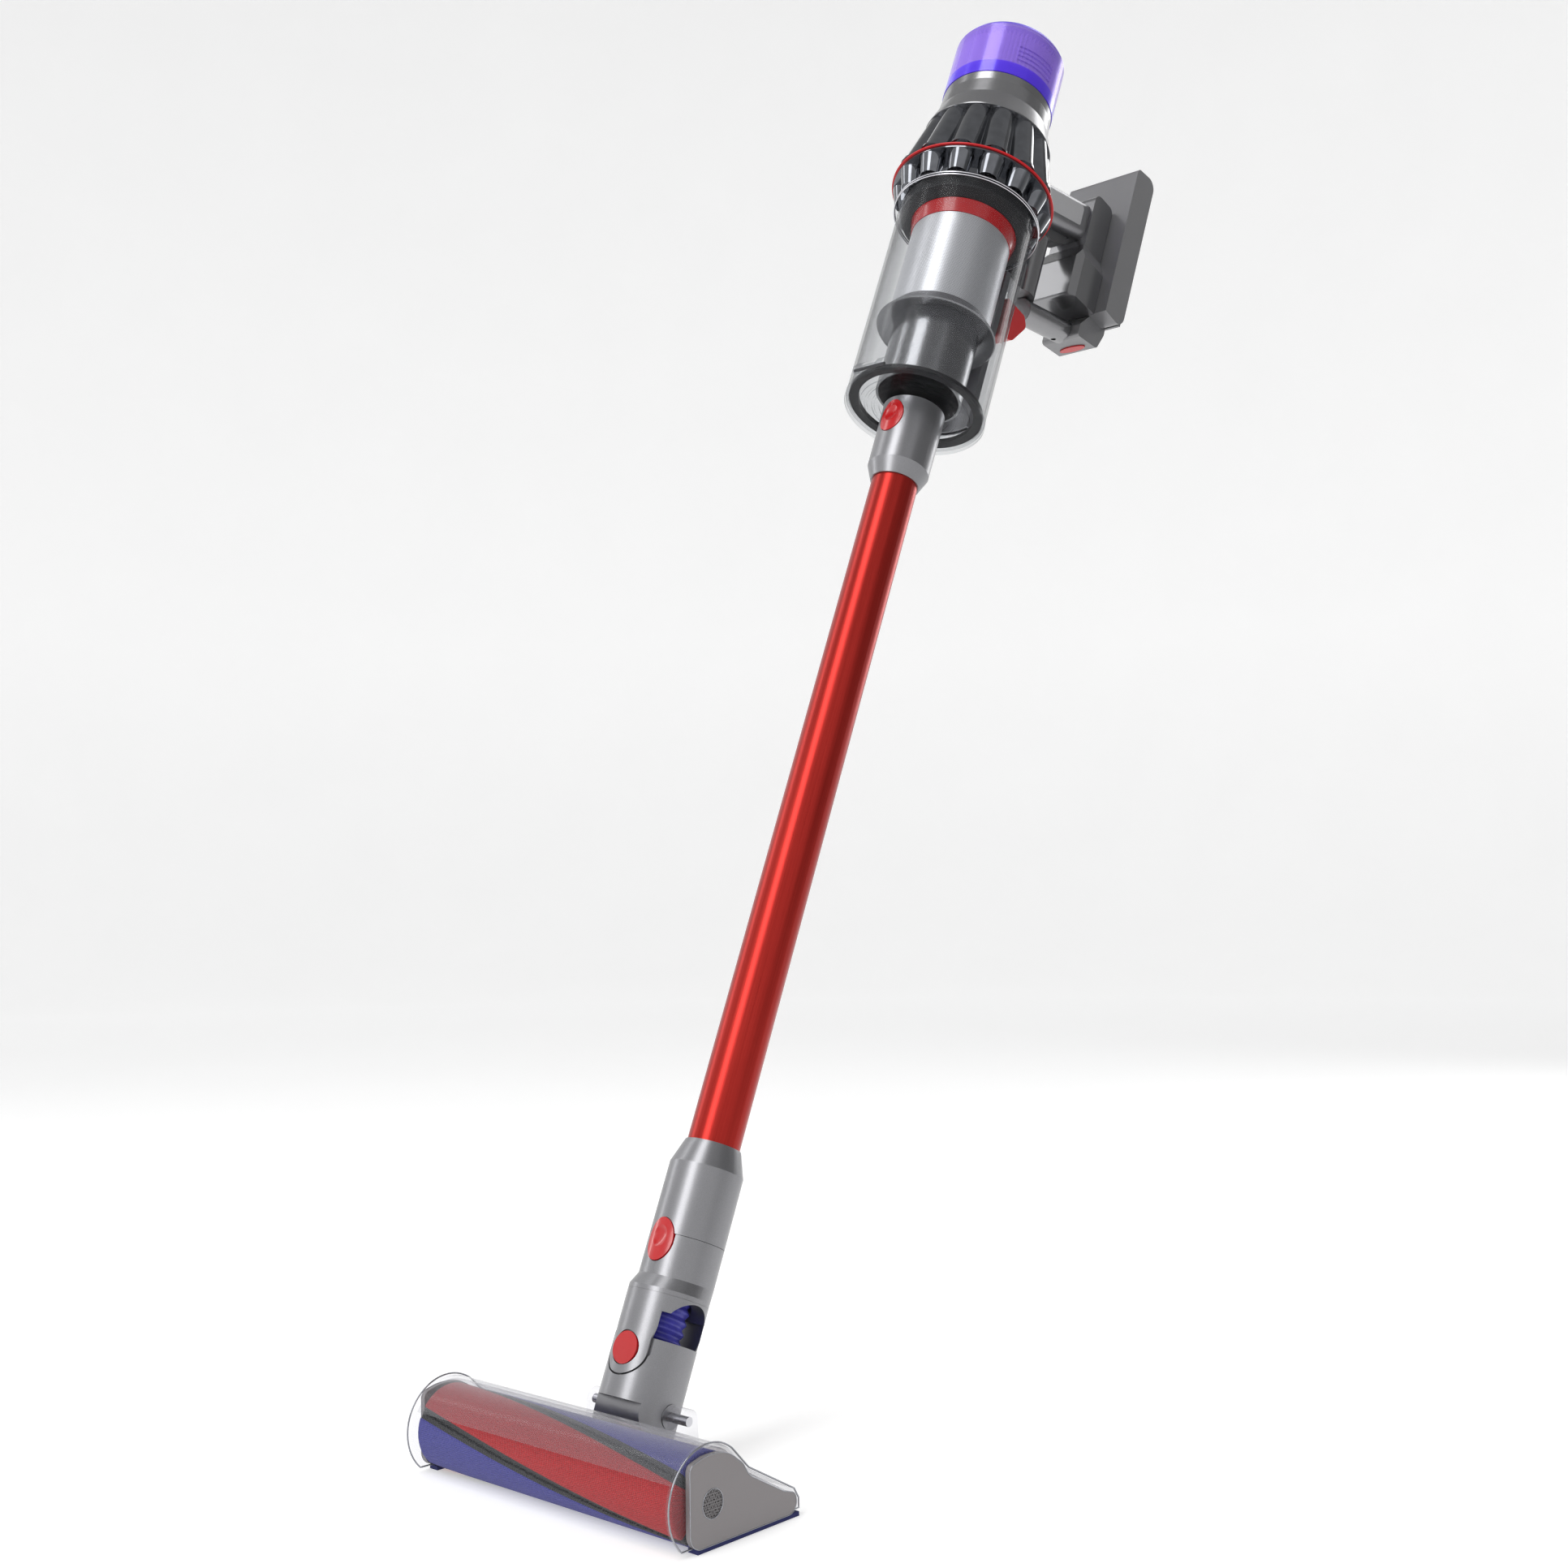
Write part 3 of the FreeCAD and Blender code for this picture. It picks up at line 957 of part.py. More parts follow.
foot = foot.cut(nose_space)
node(group("handle_foot", [foot.removeSplitter()]), "handle_foot", WAND)

# The runner under the grip: a round guide that the bin's slider stops against.
RAIL_Y = 89.0
RAIL_RADIUS = 11.8
RAIL_LOW = GASKET - 33
SKIN_Y = S["rimradius"] + 1.2               # just clear of the bin's rim
rail = Part.makeCylinder(RAIL_RADIUS, GASKET + 30 - RAIL_LOW, V(0, RAIL_Y, RAIL_LOW))
rail = rail.fuse(Part.makeBox(14, RAIL_Y - SKIN_Y, 26, V(-7, SKIN_Y, RAIL_LOW)))
rail = rail.cut(Part.makeCylinder(S["gasketradius"] + 0.4, 40, V(0, 0, GASKET - 22)))
rail = rail.cut(upper)
under_grip = smooth_prism([(40, along_grip(40) - half_tall - 1.2, 0), (GRIP_END,
                          along_grip(GRIP_END) - half_tall - 1.2, 0), (GRIP_END, GASKET + 200, 0),
                          (40, GASKET + 200, 0)], -30, 30)
rail = rail.cut(under_grip)
node(group("bin_runner", [max(rail.Solids, key=lambda part: part.Volume)]), "bin_runner", WAND)

STRUT_LOW = V(0, RAIL_Y + 4, PACK_LOW - 41)
STRUT_HIGH = V(0, NOSE_FRONT + 3, PACK_LOW - 18.5)
run = STRUT_HIGH - STRUT_LOW
strut = Part.makeCylinder(10.8, run.Length, STRUT_LOW, run)
strut = strut.cut(foot).cut(rail).cut(nose_space)
# a screw recess under its rear end
SCREW_AT = STRUT_LOW + run * 0.82
strut = strut.cut(Part.makeCylinder(2.3, 12, SCREW_AT + V(0, 0, -18)))
node(group("front_strut", [strut]), "front_strut", WAND)

SLIDER_HIGH = PACK_LOW - 53 - S["gap"]      # clear of the strut above it
slider = smooth_prism([(SKIN_Y, SLIDER_HIGH - 38, 3), (SKIN_Y, SLIDER_HIGH, 0), (88, SLIDER_HIGH, 3),
                       (94, SLIDER_HIGH - 8, 6), (80, SLIDER_HIGH - 32, 10)], -10.5, 10.5)
node(group("bin_release_slider", [slider]), "bin_release_slider", WAND)

# ---------------------------------------------------------------------------------------------
# The battery: a slab behind the foot with a nose under the strut, full of round cells.
# ---------------------------------------------------------------------------------------------
PACK_BACK = S["packback"] + S["packthick"]
PACK_HIGH = S["packhigh"]
half_pack = S["packwide"] / 2
PACK_WALL = 2.5
slab = smooth_prism([(S["packback"], PACK_LOW, 0), (S["packback"], PACK_HIGH - 6, 5),
                     (PACK_BACK, PACK_HIGH, 9), (PACK_BACK, PACK_LOW, 12)],
                    -half_pack, half_pack)
NOSE_LOW = [(NOSE_FRONT, PACK_LOW - 28), (PACK_BACK - 7, PACK_LOW - 21)]
nose = smooth_prism([(*NOSE_LOW[0], 3), (*NOSE_TOP[0], 0), (*NOSE_TOP[1], 0),
                     (PACK_BACK - 1, PACK_LOW + 3, 0), (PACK_BACK - 1, PACK_LOW - 3, 4),
                     (*NOSE_LOW[1], 5)], -NOSE_HALF, NOSE_HALF)
case = slab.fuse(nose)
CASE_LOW = PACK_LOW + PACK_WALL + 1
CASE_HIGH = PACK_HIGH - 12
case = case.cut(smooth_prism([(S["packback"] + PACK_WALL, CASE_LOW, 2),
                              (S["packback"] + PACK_WALL, CASE_HIGH, 2),
                              (PACK_BACK + 5, CASE_HIGH, 0), (PACK_BACK + 5, CASE_LOW, 0)],
                             PACK_WALL - half_pack, half_pack - PACK_WALL))
under = V(0, NOSE_LOW[1][0] - NOSE_LOW[0][0], NOSE_LOW[1][1] - NOSE_LOW[0][1])
LATCH_AT = V(0, *NOSE_LOW[0]) + under * 0.68
LATCH_AXIS = V(0, -under.z, under.y).normalize()        # into the nose


def latch_oval(grow, low, high):
    """An oval across the underside of the nose, between two depths."""
    curve = Part.Ellipse(V(0, 0, 0), 12.8 + grow, 4.4 + grow)
    face = Part.Face(Part.Wire([curve.toShape()]))
    face.rotate(V(0, 0, 0), V(1, 0, 0), math.degrees(math.atan2(under.z, under.y)))
    face.translate(LATCH_AT + LATCH_AXIS * low)
    return face.extrude(LATCH_AXIS * (high - low))


case = case.cut(latch_oval(S["gap"], -5, 8))
# the charging socket opens square to the rear face of the nose
REAR_LOW = V(0, *NOSE_LOW[1])
REAR_HIGH = V(0, PACK_BACK - 1, PACK_LOW - 3)
rear_run = REAR_HIGH - REAR_LOW
socket_axis = V(0, rear_run.z, -rear_run.y).normalize()
socket_mouth = REAR_LOW + rear_run * 0.52
case = case.cut(Part.makeCylinder(S["plugradius"], S["plugdepth"] + 5,
                                  socket_mouth - socket_axis * S["plugdepth"], socket_axis))
node(group("battery_case", [case.removeSplitter()]), "battery_case", WAND)
node(group("battery_release_button", [latch_oval(0, -1.0, 5.0)]), "battery_release_button", WAND)
inset = PACK_WALL + S["fit"]
lid = smooth_prism([(PACK_BACK - 2.2, CASE_LOW + 0.1, 0), (PACK_BACK - 2.2, CASE_HIGH - 0.1, 0),
                    (PACK_BACK - 0.1, CASE_HIGH - 0.1, 0), (PACK_BACK - 0.1, CASE_LOW + 0.1, 0)],
                   inset - half_pack, half_pack - inset)
node(group("battery_lid", [lid]), "battery_lid", WAND)
CELL = S["packwide"] - 8.2                  # length of a cell between the side walls
cells = []
for i in range(7):
    level = CASE_LOW + S["cellradius"] + 1 + i * (2 * S["cellradius"] + 0.9)
    cells.append(Part.makeCylinder(S["cellradius"], CELL,
                 V(-CELL / 2, S["packback"] + PACK_WALL + S["cellradius"] + 0.8, level),
                 V(1, 0, 0)))
node(group("battery_cells", cells), "battery_cells", WAND)

# ---------------------------------------------------------------------------------------------
# Check every object, then write one file for each sub-part.
# ---------------------------------------------------------------------------------------------
doc.recompute()
for obj in doc.Objects:
    if "Invalid" in obj.State or "Error" in obj.State:
        raise RuntimeError(f"{obj.Label} did not build: {obj.State}")
for obj in nodes:
    if obj.Shape.isNull() or not obj.Shape.isValid() or not obj.Shape.Solids:
        raise RuntimeError(f"{obj.Label} has no valid solid")
os.makedirs("parts", exist_ok=True)
for obj in nodes:
    obj.Shape.exportStep(f"parts/{obj.Label}.step")
print(len(nodes), "sub-parts written")
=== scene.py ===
# %% [markdown]
# # A cordless stick vacuum cleaner
# A soft roller head, a swivelling neck, a long anodised wand and a hand unit with a clear bin,
# cyclones, motor, filter and battery. The engineered frame is loaded first and never moved. Every
# visible surface then gets its own finish, and the pieces that need more shape than the frame
# gives them, such as the fabric roller, the ribbed hose and the pleated filter, are built here.

# %% Load the frame
import json
import math

import bmesh
import bpy
from mathutils import Matrix, Vector

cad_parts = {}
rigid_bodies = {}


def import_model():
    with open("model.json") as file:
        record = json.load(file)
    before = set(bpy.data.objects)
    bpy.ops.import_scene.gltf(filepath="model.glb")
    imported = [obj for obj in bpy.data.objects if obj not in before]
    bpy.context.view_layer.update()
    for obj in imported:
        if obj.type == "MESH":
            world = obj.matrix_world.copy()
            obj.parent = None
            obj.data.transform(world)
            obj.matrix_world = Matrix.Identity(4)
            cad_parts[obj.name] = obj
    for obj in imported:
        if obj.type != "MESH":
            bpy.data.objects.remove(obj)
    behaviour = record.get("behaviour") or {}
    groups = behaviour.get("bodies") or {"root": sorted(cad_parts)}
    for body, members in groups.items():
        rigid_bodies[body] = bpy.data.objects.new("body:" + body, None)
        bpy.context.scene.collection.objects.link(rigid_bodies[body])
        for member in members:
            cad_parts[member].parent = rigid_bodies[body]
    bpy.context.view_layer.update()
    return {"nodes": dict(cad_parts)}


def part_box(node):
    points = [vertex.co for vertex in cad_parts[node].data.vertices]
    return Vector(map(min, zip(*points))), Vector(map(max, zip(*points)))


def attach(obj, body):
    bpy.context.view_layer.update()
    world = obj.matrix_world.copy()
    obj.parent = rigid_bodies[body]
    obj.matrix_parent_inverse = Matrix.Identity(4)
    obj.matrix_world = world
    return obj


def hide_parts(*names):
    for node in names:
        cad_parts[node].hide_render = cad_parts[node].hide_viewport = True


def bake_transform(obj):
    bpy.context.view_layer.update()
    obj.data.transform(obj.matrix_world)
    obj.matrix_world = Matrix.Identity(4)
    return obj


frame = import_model()

# %% [markdown]
# ## Two places to measure from
# The head stands square on the floor, so its pieces use plain X, Y and Z. Everything above the neck
# leans back along the wand. A point on it is easier to give as across, behind and up the wand, so
# one matrix turns that into the scene's metres.

# %% The leaning wand space
MM = 0.001
LEAN = math.radians(23.3)
TILT_AXIS = Vector((0, 10.2, 43.8)) * MM
ROLLER_AXIS = Vector((0, -52, 27)) * MM
WAND = Matrix.Translation(TILT_AXIS) @ Matrix.Rotation(-LEAN, 4, "X")
PLAIN = Matrix.Identity(4)


def on_wand(across, behind, up):
    """The scene's point for millimetres across, behind and up the wand."""
    return WAND @ (Vector((across, behind, up)) * MM)


print("top of the bin is at", [round(v, 3) for v in on_wand(0, 0, 970)])

# %% [markdown]
# ## A camera at the studio's height
# The camera looks along a line given by its azimuth and elevation, with a small roll. It is built
# from those three angles instead of a look-at constraint, so that nothing live is left in the scene.

# %% Camera
CAMERA_AT = (0.8716, -0.8139, 0.3731)
AZIMUTH, ELEVATION, ROLL = (math.radians(angle) for angle in (41.93, -3.6, -0.75))
FOCAL_LENGTH, SENSOR_WIDTH = 41.588, 36          # millimetres
towards = Vector((math.sin(AZIMUTH) * math.cos(ELEVATION),
                  -math.cos(AZIMUTH) * math.cos(ELEVATION), math.sin(ELEVATION)))
level = Vector((math.cos(AZIMUTH), math.sin(AZIMUTH), 0))
upward = towards.cross(level)
right = math.cos(ROLL) * level + math.sin(ROLL) * upward
top = math.cos(ROLL) * upward - math.sin(ROLL) * level
lens = bpy.data.cameras.new("camera")
lens.lens = FOCAL_LENGTH
lens.sensor_width = SENSOR_WIDTH
camera = bpy.data.objects.new("camera", lens)
turned = Matrix((right, top, towards)).transposed().to_4x4()
camera.matrix_world = Matrix.Translation(CAMERA_AT) @ turned
bpy.context.scene.collection.objects.link(camera)
bpy.context.scene.camera = camera
print("camera stands", round(Vector(CAMERA_AT).length, 2), "m from the origin")

# %% [markdown]
# ## Node trees as sums
# A finish is mostly arithmetic on coordinates. A small class wraps one socket, so that a mask can be
# written as an expression, and every other node comes from one method that sets its properties
# before its inputs.


# %% Shader helpers
class Value:
    """One output socket, with arithmetic that adds Math nodes to its tree."""

    def __init__(self, shader, socket):
        self.shader, self.socket = shader, socket

    def maths(self, operation, *others, flip=False):
        """A Math node on this value; flip puts it after the others."""
        terms = [*others, self] if flip else [self, *others]
        return self.shader.node("ShaderNodeMath", {"operation": operation}, dict(enumerate(terms)))

    def held(self, low, high):
        """The value kept between two limits."""
        return self.maths("MAXIMUM", low).maths("MINIMUM", high)

    def __add__(self, other):
        return self.maths("ADD", other)

    def __radd__(self, other):
        return self.maths("ADD", other, flip=True)

    def __sub__(self, other):
        return self.maths("SUBTRACT", other)

    def __rsub__(self, other):
        return self.maths("SUBTRACT", other, flip=True)

    def __mul__(self, other):
        return self.maths("MULTIPLY", other)

    def __rmul__(self, other):
        return self.maths("MULTIPLY", other, flip=True)

    def __truediv__(self, other):
        return self.maths("DIVIDE", other)

    def __gt__(self, other):
        return self.maths("GREATER_THAN", other)

    def __lt__(self, other):
        return self.maths("LESS_THAN", other)

    def __abs__(self):
        return self.maths("ABSOLUTE")

    def of(self, name):
        """Another output of the same node."""
        return Value(self.shader, self.socket.node.outputs[name])


class Tree:
    """A node tree that is built by calls."""

    def node(self, kind, settings=None, inputs=None, out=0):
        """Add a node: its settings first, then the values or links of its sockets."""
        new = self.tree.nodes.new(kind)
        for key, value in (settings or {}).items():
            setattr(new, key, value)
        for key, value in (inputs or {}).items():
            if isinstance(value, Value):
                self.tree.links.new(value.socket, new.inputs[key])
            else:
                new.inputs[key].default_value = value
        return Value(self, new.outputs[out]) if new.outputs else new

    def axes(self, vector):
        """The three numbers of a vector."""
        split = self.node("ShaderNodeSeparateXYZ", None, {"Vector": vector})
        return split, split.of("Y"), split.of("Z")


class Shader(Tree):
    """A material's node tree."""

    def __init__(self, name):
        self.material = bpy.data.materials.new(name)
        self.material.use_nodes = True
        self.tree = self.material.node_tree
        self.tree.nodes.clear()

    def place(self, space=PLAIN):
        """Object coordinates, measured in a leaning or plain space."""
        plain = self.node("ShaderNodeTexCoord").of("Object")
        if space is PLAIN:
            return plain
        return self.node("ShaderNodeMapping", {"vector_type": "TEXTURE"},
                         {"Vector": plain, "Location": space.translation,
                          "Rotation": space.to_euler()})

    def noise(self, vector, scale, detail=3.0, rough=0.5):
        """Noise with its middle at a half."""
        return self.node("ShaderNodeTexNoise", None,
                         {"Vector": vector, "Scale": scale, "Detail": detail, "Roughness": rough})

    def stretched(self, vector, scale):
        """The same coordinates, drawn out by a scale on each axis."""
        return self.node("ShaderNodeMapping", None, {"Vector": vector, "Scale": scale})

    def mixed(self, factor, first, second):
        """One colour going over to another."""
        return self.node("ShaderNodeMix", {"data_type": "RGBA"},
                         {"Factor": factor, 6: as_colour(first), 7: as_colour(second)}, out=2)

    def bump(self, height, distance, strength=0.5):
        """A bumped normal from a height."""
        return self.node("ShaderNodeBump", None,
                         {"Height": height, "Distance": distance, "Strength": strength})

    def turned_away(self, power):
        """How far the surface turns away from the viewer, drawn towards its edges by a power."""
        layers = self.node("ShaderNodeLayerWeight", None, {"Blend": 0.5})
        return layers.of("Facing").maths("POWER", power)

    def surface(self, colour, rough, metal=0.0, normal=None, **others):
        """A Principled shader."""
        inputs = {"Base Color": as_colour(colour), "Roughness": rough, "Metallic": metal, **others}
        if normal:
            inputs["Normal"] = normal
        return self.node("ShaderNodeBsdfPrincipled", None, inputs)

    def done(self, surface):
        """Send a shader to the output and hand back the material."""
        self.node("ShaderNodeOutputMaterial", None, {"Surface": surface})
        return self.material


def as_colour(colour):
    """Three numbers as a colour with alpha; a link is passed on."""
    return colour if isinstance(colour, Value) else (*colour[:3], 1.0)


def paint(red, green, blue):
    """Linear colour of a swatch given in steps of 0 to 255, by the sRGB curve."""
    return tuple(((step / 255 + 0.055) / 1.055) ** 2.4 for step in (red, green, blue))


# %% [markdown]
# ## Moulded plastic
# Most of the cleaner is polypropylene or ABS with metal flakes in it. Flakes are thousands of tiny
# tilted mirrors, far too small to model, so a fine noise varies the colour and the roughness, and a
# slower one gives the slight orange peel of a moulding. Handling leaves soft scuffs, which mostly
# change the roughness.


# %% Flaked and plain plastic
FLAKE_SCALE, SCUFF_SCALE, PEEL_SCALE = 2600.0, 26.0, 420.0      # noise cells for each metre


def moulded(name, colour, rough, metal=0.0, coat=0.0, space=WAND, flake=0.12, peel=0.02 * MM):
    """A moulded plastic with flakes, orange peel and soft scuffs."""
    made = Shader(name)
    spot = made.place(space)
    flakes = made.noise(spot, FLAKE_SCALE, detail=1.0)
    scuffs = made.noise(spot, SCUFF_SCALE, detail=6.0, rough=0.65)
    darker = tuple(part * (1 - 2 * flake) for part in colour)
    lighter = tuple(min(1.0, part * (1 + 2 * flake)) for part in colour)
    tint = made.mixed(flakes * 0.8 + scuffs * 0.2, darker, lighter)
    shine = rough - 0.05 + 0.06 * scuffs + 0.04 * flakes
    waves = made.noise(spot, PEEL_SCALE, detail=2.0)
    peeled = made.bump(waves, peel, 0.35)
    return made.done(made.surface(tint, shine, metal, peeled, **{
        "Coat Weight": coat, "Coat Roughness": 0.12, "IOR": 1.5}))


grey_plastic = moulded("grey_plastic", paint(138, 138, 141), 0.34, metal=0.92, coat=0.1)
silver_plastic = moulded("silver_plastic", paint(142, 142, 144), 0.24, metal=0.92, coat=0.1)
head_plastic = moulded("head_plastic", paint(132, 128, 129), 0.42, metal=0.35, space=PLAIN)
pack_plastic = moulded("pack_plastic", paint(128, 128, 130), 0.34, metal=0.6, coat=0.1)
dark_plastic = moulded("dark_plastic", paint(58, 58, 60), 0.36, coat=0.1, flake=0.06)
black_rubber = moulded("black_rubber", paint(26, 26, 28), 0.62, flake=0.04, peel=0.04 * MM)
inlay_plastic = moulded("inlay_plastic", paint(176, 176, 178), 0.48, metal=0.3)
red_plastic = moulded("red_plastic", paint(176, 10, 16), 0.24, coat=0.4, flake=0.05)
red_seal = moulded("red_seal", paint(190, 22, 28), 0.45, flake=0.05)
steel = moulded("steel", paint(200, 200, 205), 0.24, metal=1.0, flake=0.04)
cell_wrap = moulded("cell_wrap", paint(40, 80, 130), 0.4, flake=0.05)
board_green = moulded("board_green", paint(30, 90, 55), 0.45, flake=0.1)
copper = moulded("copper", paint(190, 110, 60), 0.35, metal=0.9, flake=0.1)
print("materials so far, with the frame's own:", len(bpy.data.materials))

# %% [markdown]
# ## Dotted end caps
# The round caps at the roller's ends are moulded with a field of small dots. Rows one dot apart,
# each shifted by half a dot, give a staggered grid, and the distance to the nearest centre makes
# the dot. Modelling them would cost thousands of faces for a relief of less than half a millimetre.
# Each dot is bumped lower and painted darker, as painted shade in the hollow.

# %% Dotted end caps
DOT = 1.5 * MM
DOT_RADIUS = 0.3                  # of the distance between two dots

made = Shader("hub_plastic")
forward, rise = made.axes(made.place())[1:]
row = (rise / DOT).maths("FLOOR")
off = (forward / DOT + row * 0.5).maths("FRACT") - 0.5
lift = (rise / DOT).maths("FRACT") - 0.5
shaded_dot = (off * off + lift * lift).maths("SQRT") < DOT_RADIUS
# Painted shade: the sunk dots are painted darker for the shade in them.
cap_tint_and_dot_shade = made.mixed(shaded_dot, paint(112, 109, 110), paint(62, 60, 62))
hub_plastic = made.done(made.surface(cap_tint_and_dot_shade, 0.5, 0.2, made.bump(1 - shaded_dot, 0.4 * MM, 0.6)))

# %% [markdown]
# ## Anodised tube
# The wand is drawn aluminium, dyed red. Drawing leaves hair lines along the tube, so a fine noise
# is stretched more than a hundred times along it. A second, slow noise stands for dye that takes
# unevenly. Both vary the red, and the lines vary the roughness too.

# %% Red anodised metal
made = Shader("red_metal")
lines = made.noise(made.stretched(made.place(WAND), (1400.0, 1400.0, 9.0)), 1.0, detail=4.0)
dye = made.noise(made.place(WAND), 9.0, detail=3.0)
red_tint = made.mixed(lines * 0.6 + dye * 0.4, paint(132, 22, 20), paint(188, 52, 44))
hair_lines = made.bump(lines, 0.01 * MM, 0.25)
red_metal = made.done(made.surface(red_tint, 0.24 + 0.12 * lines, 0.85, hair_lines))

# %% [markdown]
# ## Clear polycarbonate
# Clear walls only 2 mm thick bend light very little, so a full refraction costs time and gains
# nothing. See-through goes over to gloss by how far the wall turns away, which makes its edges show
# on both of its faces, and fine scratches in the gloss show that the wall is there.


# %% Clear and tinted walls
def clear_wall(name, tint, space=WAND, gloss=0.05, body=0.05, depth=(0.05, 0.05, 0.055)):
    """A thin clear wall: see-through face on, shiny at its edges."""
    made = Shader(name)
    rubbed = made.noise(made.stretched(made.place(space), (300.0, 300.0, 40.0)), 1.0, detail=5.0)
    shiny = made.surface(depth, gloss + 0.08 * rubbed, IOR=1.5)
    through = made.node("ShaderNodeBsdfTransparent", None, {"Color": as_colour(tint)})
    share = (made.turned_away(4.0) * 0.8 + body).maths("MINIMUM", 1.0)
    return made.done(made.node("ShaderNodeMixShader", None, {0: share, 1: through, 2: shiny}))


clear_bin = clear_wall("clear_bin", (0.95, 0.955, 0.96))
clear_head = clear_wall("clear_head", (0.95, 0.95, 0.96), space=PLAIN, gloss=0.03,
                        depth=(0.55, 0.55, 0.57))
print("clear walls:", clear_bin.name, clear_head.name)

# %% [markdown]
# ## Tinted filter shell
# The filter's shell is violet and half see-through, so the pleats show as fine lines. It is thicker
# at its lower band and round its top, which reads as a deeper violet there. The height along the
# wand makes those masks, and they drive both the colour and how much shows through.

# %% Violet shell
LOW_BAND_TOP, LOW_BAND_BLUR = 1100.5 * MM, 1.5 * MM
TOP_BAND_LOW, TOP_BAND_BLUR = 1140.0 * MM, 3.0 * MM

made = Shader("violet_shell")
up = made.axes(made.place(WAND))[2]
low_band = 1 - ((up - LOW_BAND_TOP) / LOW_BAND_BLUR).held(0.0, 1.0)
top_band = ((up - TOP_BAND_LOW) / TOP_BAND_BLUR).held(0.0, 1.0)
deep = (low_band + top_band).maths("MINIMUM", 1.0)
smear = made.noise(made.place(WAND), 60.0, detail=4.0)
violet = made.mixed(deep, paint(164, 132, 240), paint(84, 50, 226))
shell_gloss = made.surface(violet, 0.14 + 0.1 * smear, 0.15, made.bump(smear, 0.1 * MM, 0.2),
                           **{"Coat Weight": 0.4})
shell_through = made.node("ShaderNodeBsdfTransparent", None, {"Color": (0.84, 0.76, 1.0, 1.0)})
shell_share = (0.42 + 0.35 * deep + 0.5 * made.turned_away(3.0)).maths("MINIMUM", 1.0)
violet_shell = made.done(made.node("ShaderNodeMixShader", None,
                                   {0: shell_share, 1: shell_through, 2: shell_gloss}))

# %% [markdown]
# ## Smoked chrome
# The cyclones are moulded, then metallised in a vacuum and lacquered. The metal is mirror smooth,
# with the slightest waviness from the plastic under it.

# %% Smoked chrome
made = Shader("smoked_chrome")
wave = made.noise(made.place(WAND), 90.0, detail=2.0)
chrome_tint = made.mixed(wave, paint(84, 86, 90), paint(122, 124, 130))
smoked_chrome = made.done(made.surface(chrome_tint, 0.06 + 0.08 * wave, 1.0,
                                       made.bump(wave, 0.12 * MM, 0.3), **{"Coat Weight": 0.5}))

# %% [markdown]
# ## Etched mesh
# The shroud inside the bin is steel foil with thousands of holes about two thirds of a millimetre
# wide. They are a pattern, not geometry: the angle round the wand and the height along it are
# turned into a staggered grid, and the distance to the nearest centre makes the hole. Each hole is
# painted darker, as painted shade for the unlit inside seen through it, and is rougher and lower.

# %% Perforated foil
PITCH = 1.1 * MM
HOLE_RADIUS = 0.3                 # of the pitch
MESH_RADIUS = 41.5 * MM

made = Shader("steel_mesh")
across, behind, up = made.axes(made.place(WAND))
around = behind.maths("ARCTAN2", across) * MESH_RADIUS
row = (up / PITCH).maths("FLOOR")
off_across = (around / PITCH + row * 0.5).maths("FRACT") - 0.5
off_up = (up / PITCH).maths("FRACT") - 0.5
shaded_hole = (off_across * off_across + off_up * off_up).maths("SQRT") < HOLE_RADIUS
# Painted shade: each hole is painted darker for the unlit inside seen through it.
foil_and_hole_shade = made.mixed(shaded_hole, paint(226, 226, 229), paint(150, 150, 154))
steel_mesh = made.done(made.surface(foil_and_hole_shade, 0.34 + 0.2 * shaded_hole, 0.8,
                                    made.bump(1 - shaded_hole, 0.1 * MM, 0.4)))
print("rows of holes in the mesh, for each centimetre:", round(0.01 / PITCH))

# %% [markdown]
# ## Which finish each frame piece takes
# The frame's pieces keep their shapes. One table gives the finish of each, so that nothing is left
# with a plain colour.

# %% Finishes of the frame
felt_blue = moulded("felt_blue", paint(38, 42, 92), 0.9, space=PLAIN, flake=0.2, peel=0.2 * MM)
FINISHES = {
    red_metal: ["wand_tube"],
    grey_plastic: ["wand_lower_collar", "wand_upper_collar", "head_connector", "swivel_yoke",
                   "neck_tube", "grip_shell_left", "grip_shell_right", "inlet_duct"],
    silver_plastic: ["motor_housing", "handle_foot", "bin_runner", "front_strut", "shroud_skirt"],
    pack_plastic: ["battery_case", "battery_lid"],
    head_plastic: ["end_plate_left", "end_plate_right"],
    hub_plastic: ["hub_discs"],
    dark_plastic: ["control_face", "sole_plate", "suction_duct", "roller_core", "roller_hubs",
                   "motor_brackets", "impeller", "base_hinge_pin", "trigger"],
    black_rubber: ["bin_base_seal", "bin_top_seal"],
    inlay_plastic: ["grip_inlays"],
    red_plastic: ["head_release_button", "wand_release_button", "bin_release_slider",
                  "battery_release_button", "mode_button", "swivel_caps", "shroud_ring"],
    red_seal: ["cyclone_gasket"],
    steel: ["roller_motor", "idler_axle", "tilt_pins", "swivel_pins", "trigger_pin",
            "motor_bearings", "motor_rotor"],
    copper: ["motor_stator"],
    cell_wrap: ["battery_cells"],
    board_green: ["control_board"],
    clear_bin: ["dust_bin", "bin_base"],
    clear_head: ["head_housing"],
    smoked_chrome: ["cyclone_bodies", "cyclone_tips"],
    steel_mesh: ["shroud_mesh"],
    violet_shell: ["filter_shell"],
    felt_blue: ["felt_strip", "roller_sleeve", "neck_hose", "filter_media"],
}
for finish, names in FINISHES.items():
    for name in names:
        for slot in frame["nodes"][name].material_slots:
            slot.material = finish
finished = {name for names in FINISHES.values() for name in names}
print("pieces without a finish:", sorted(set(frame["nodes"]) - finished))

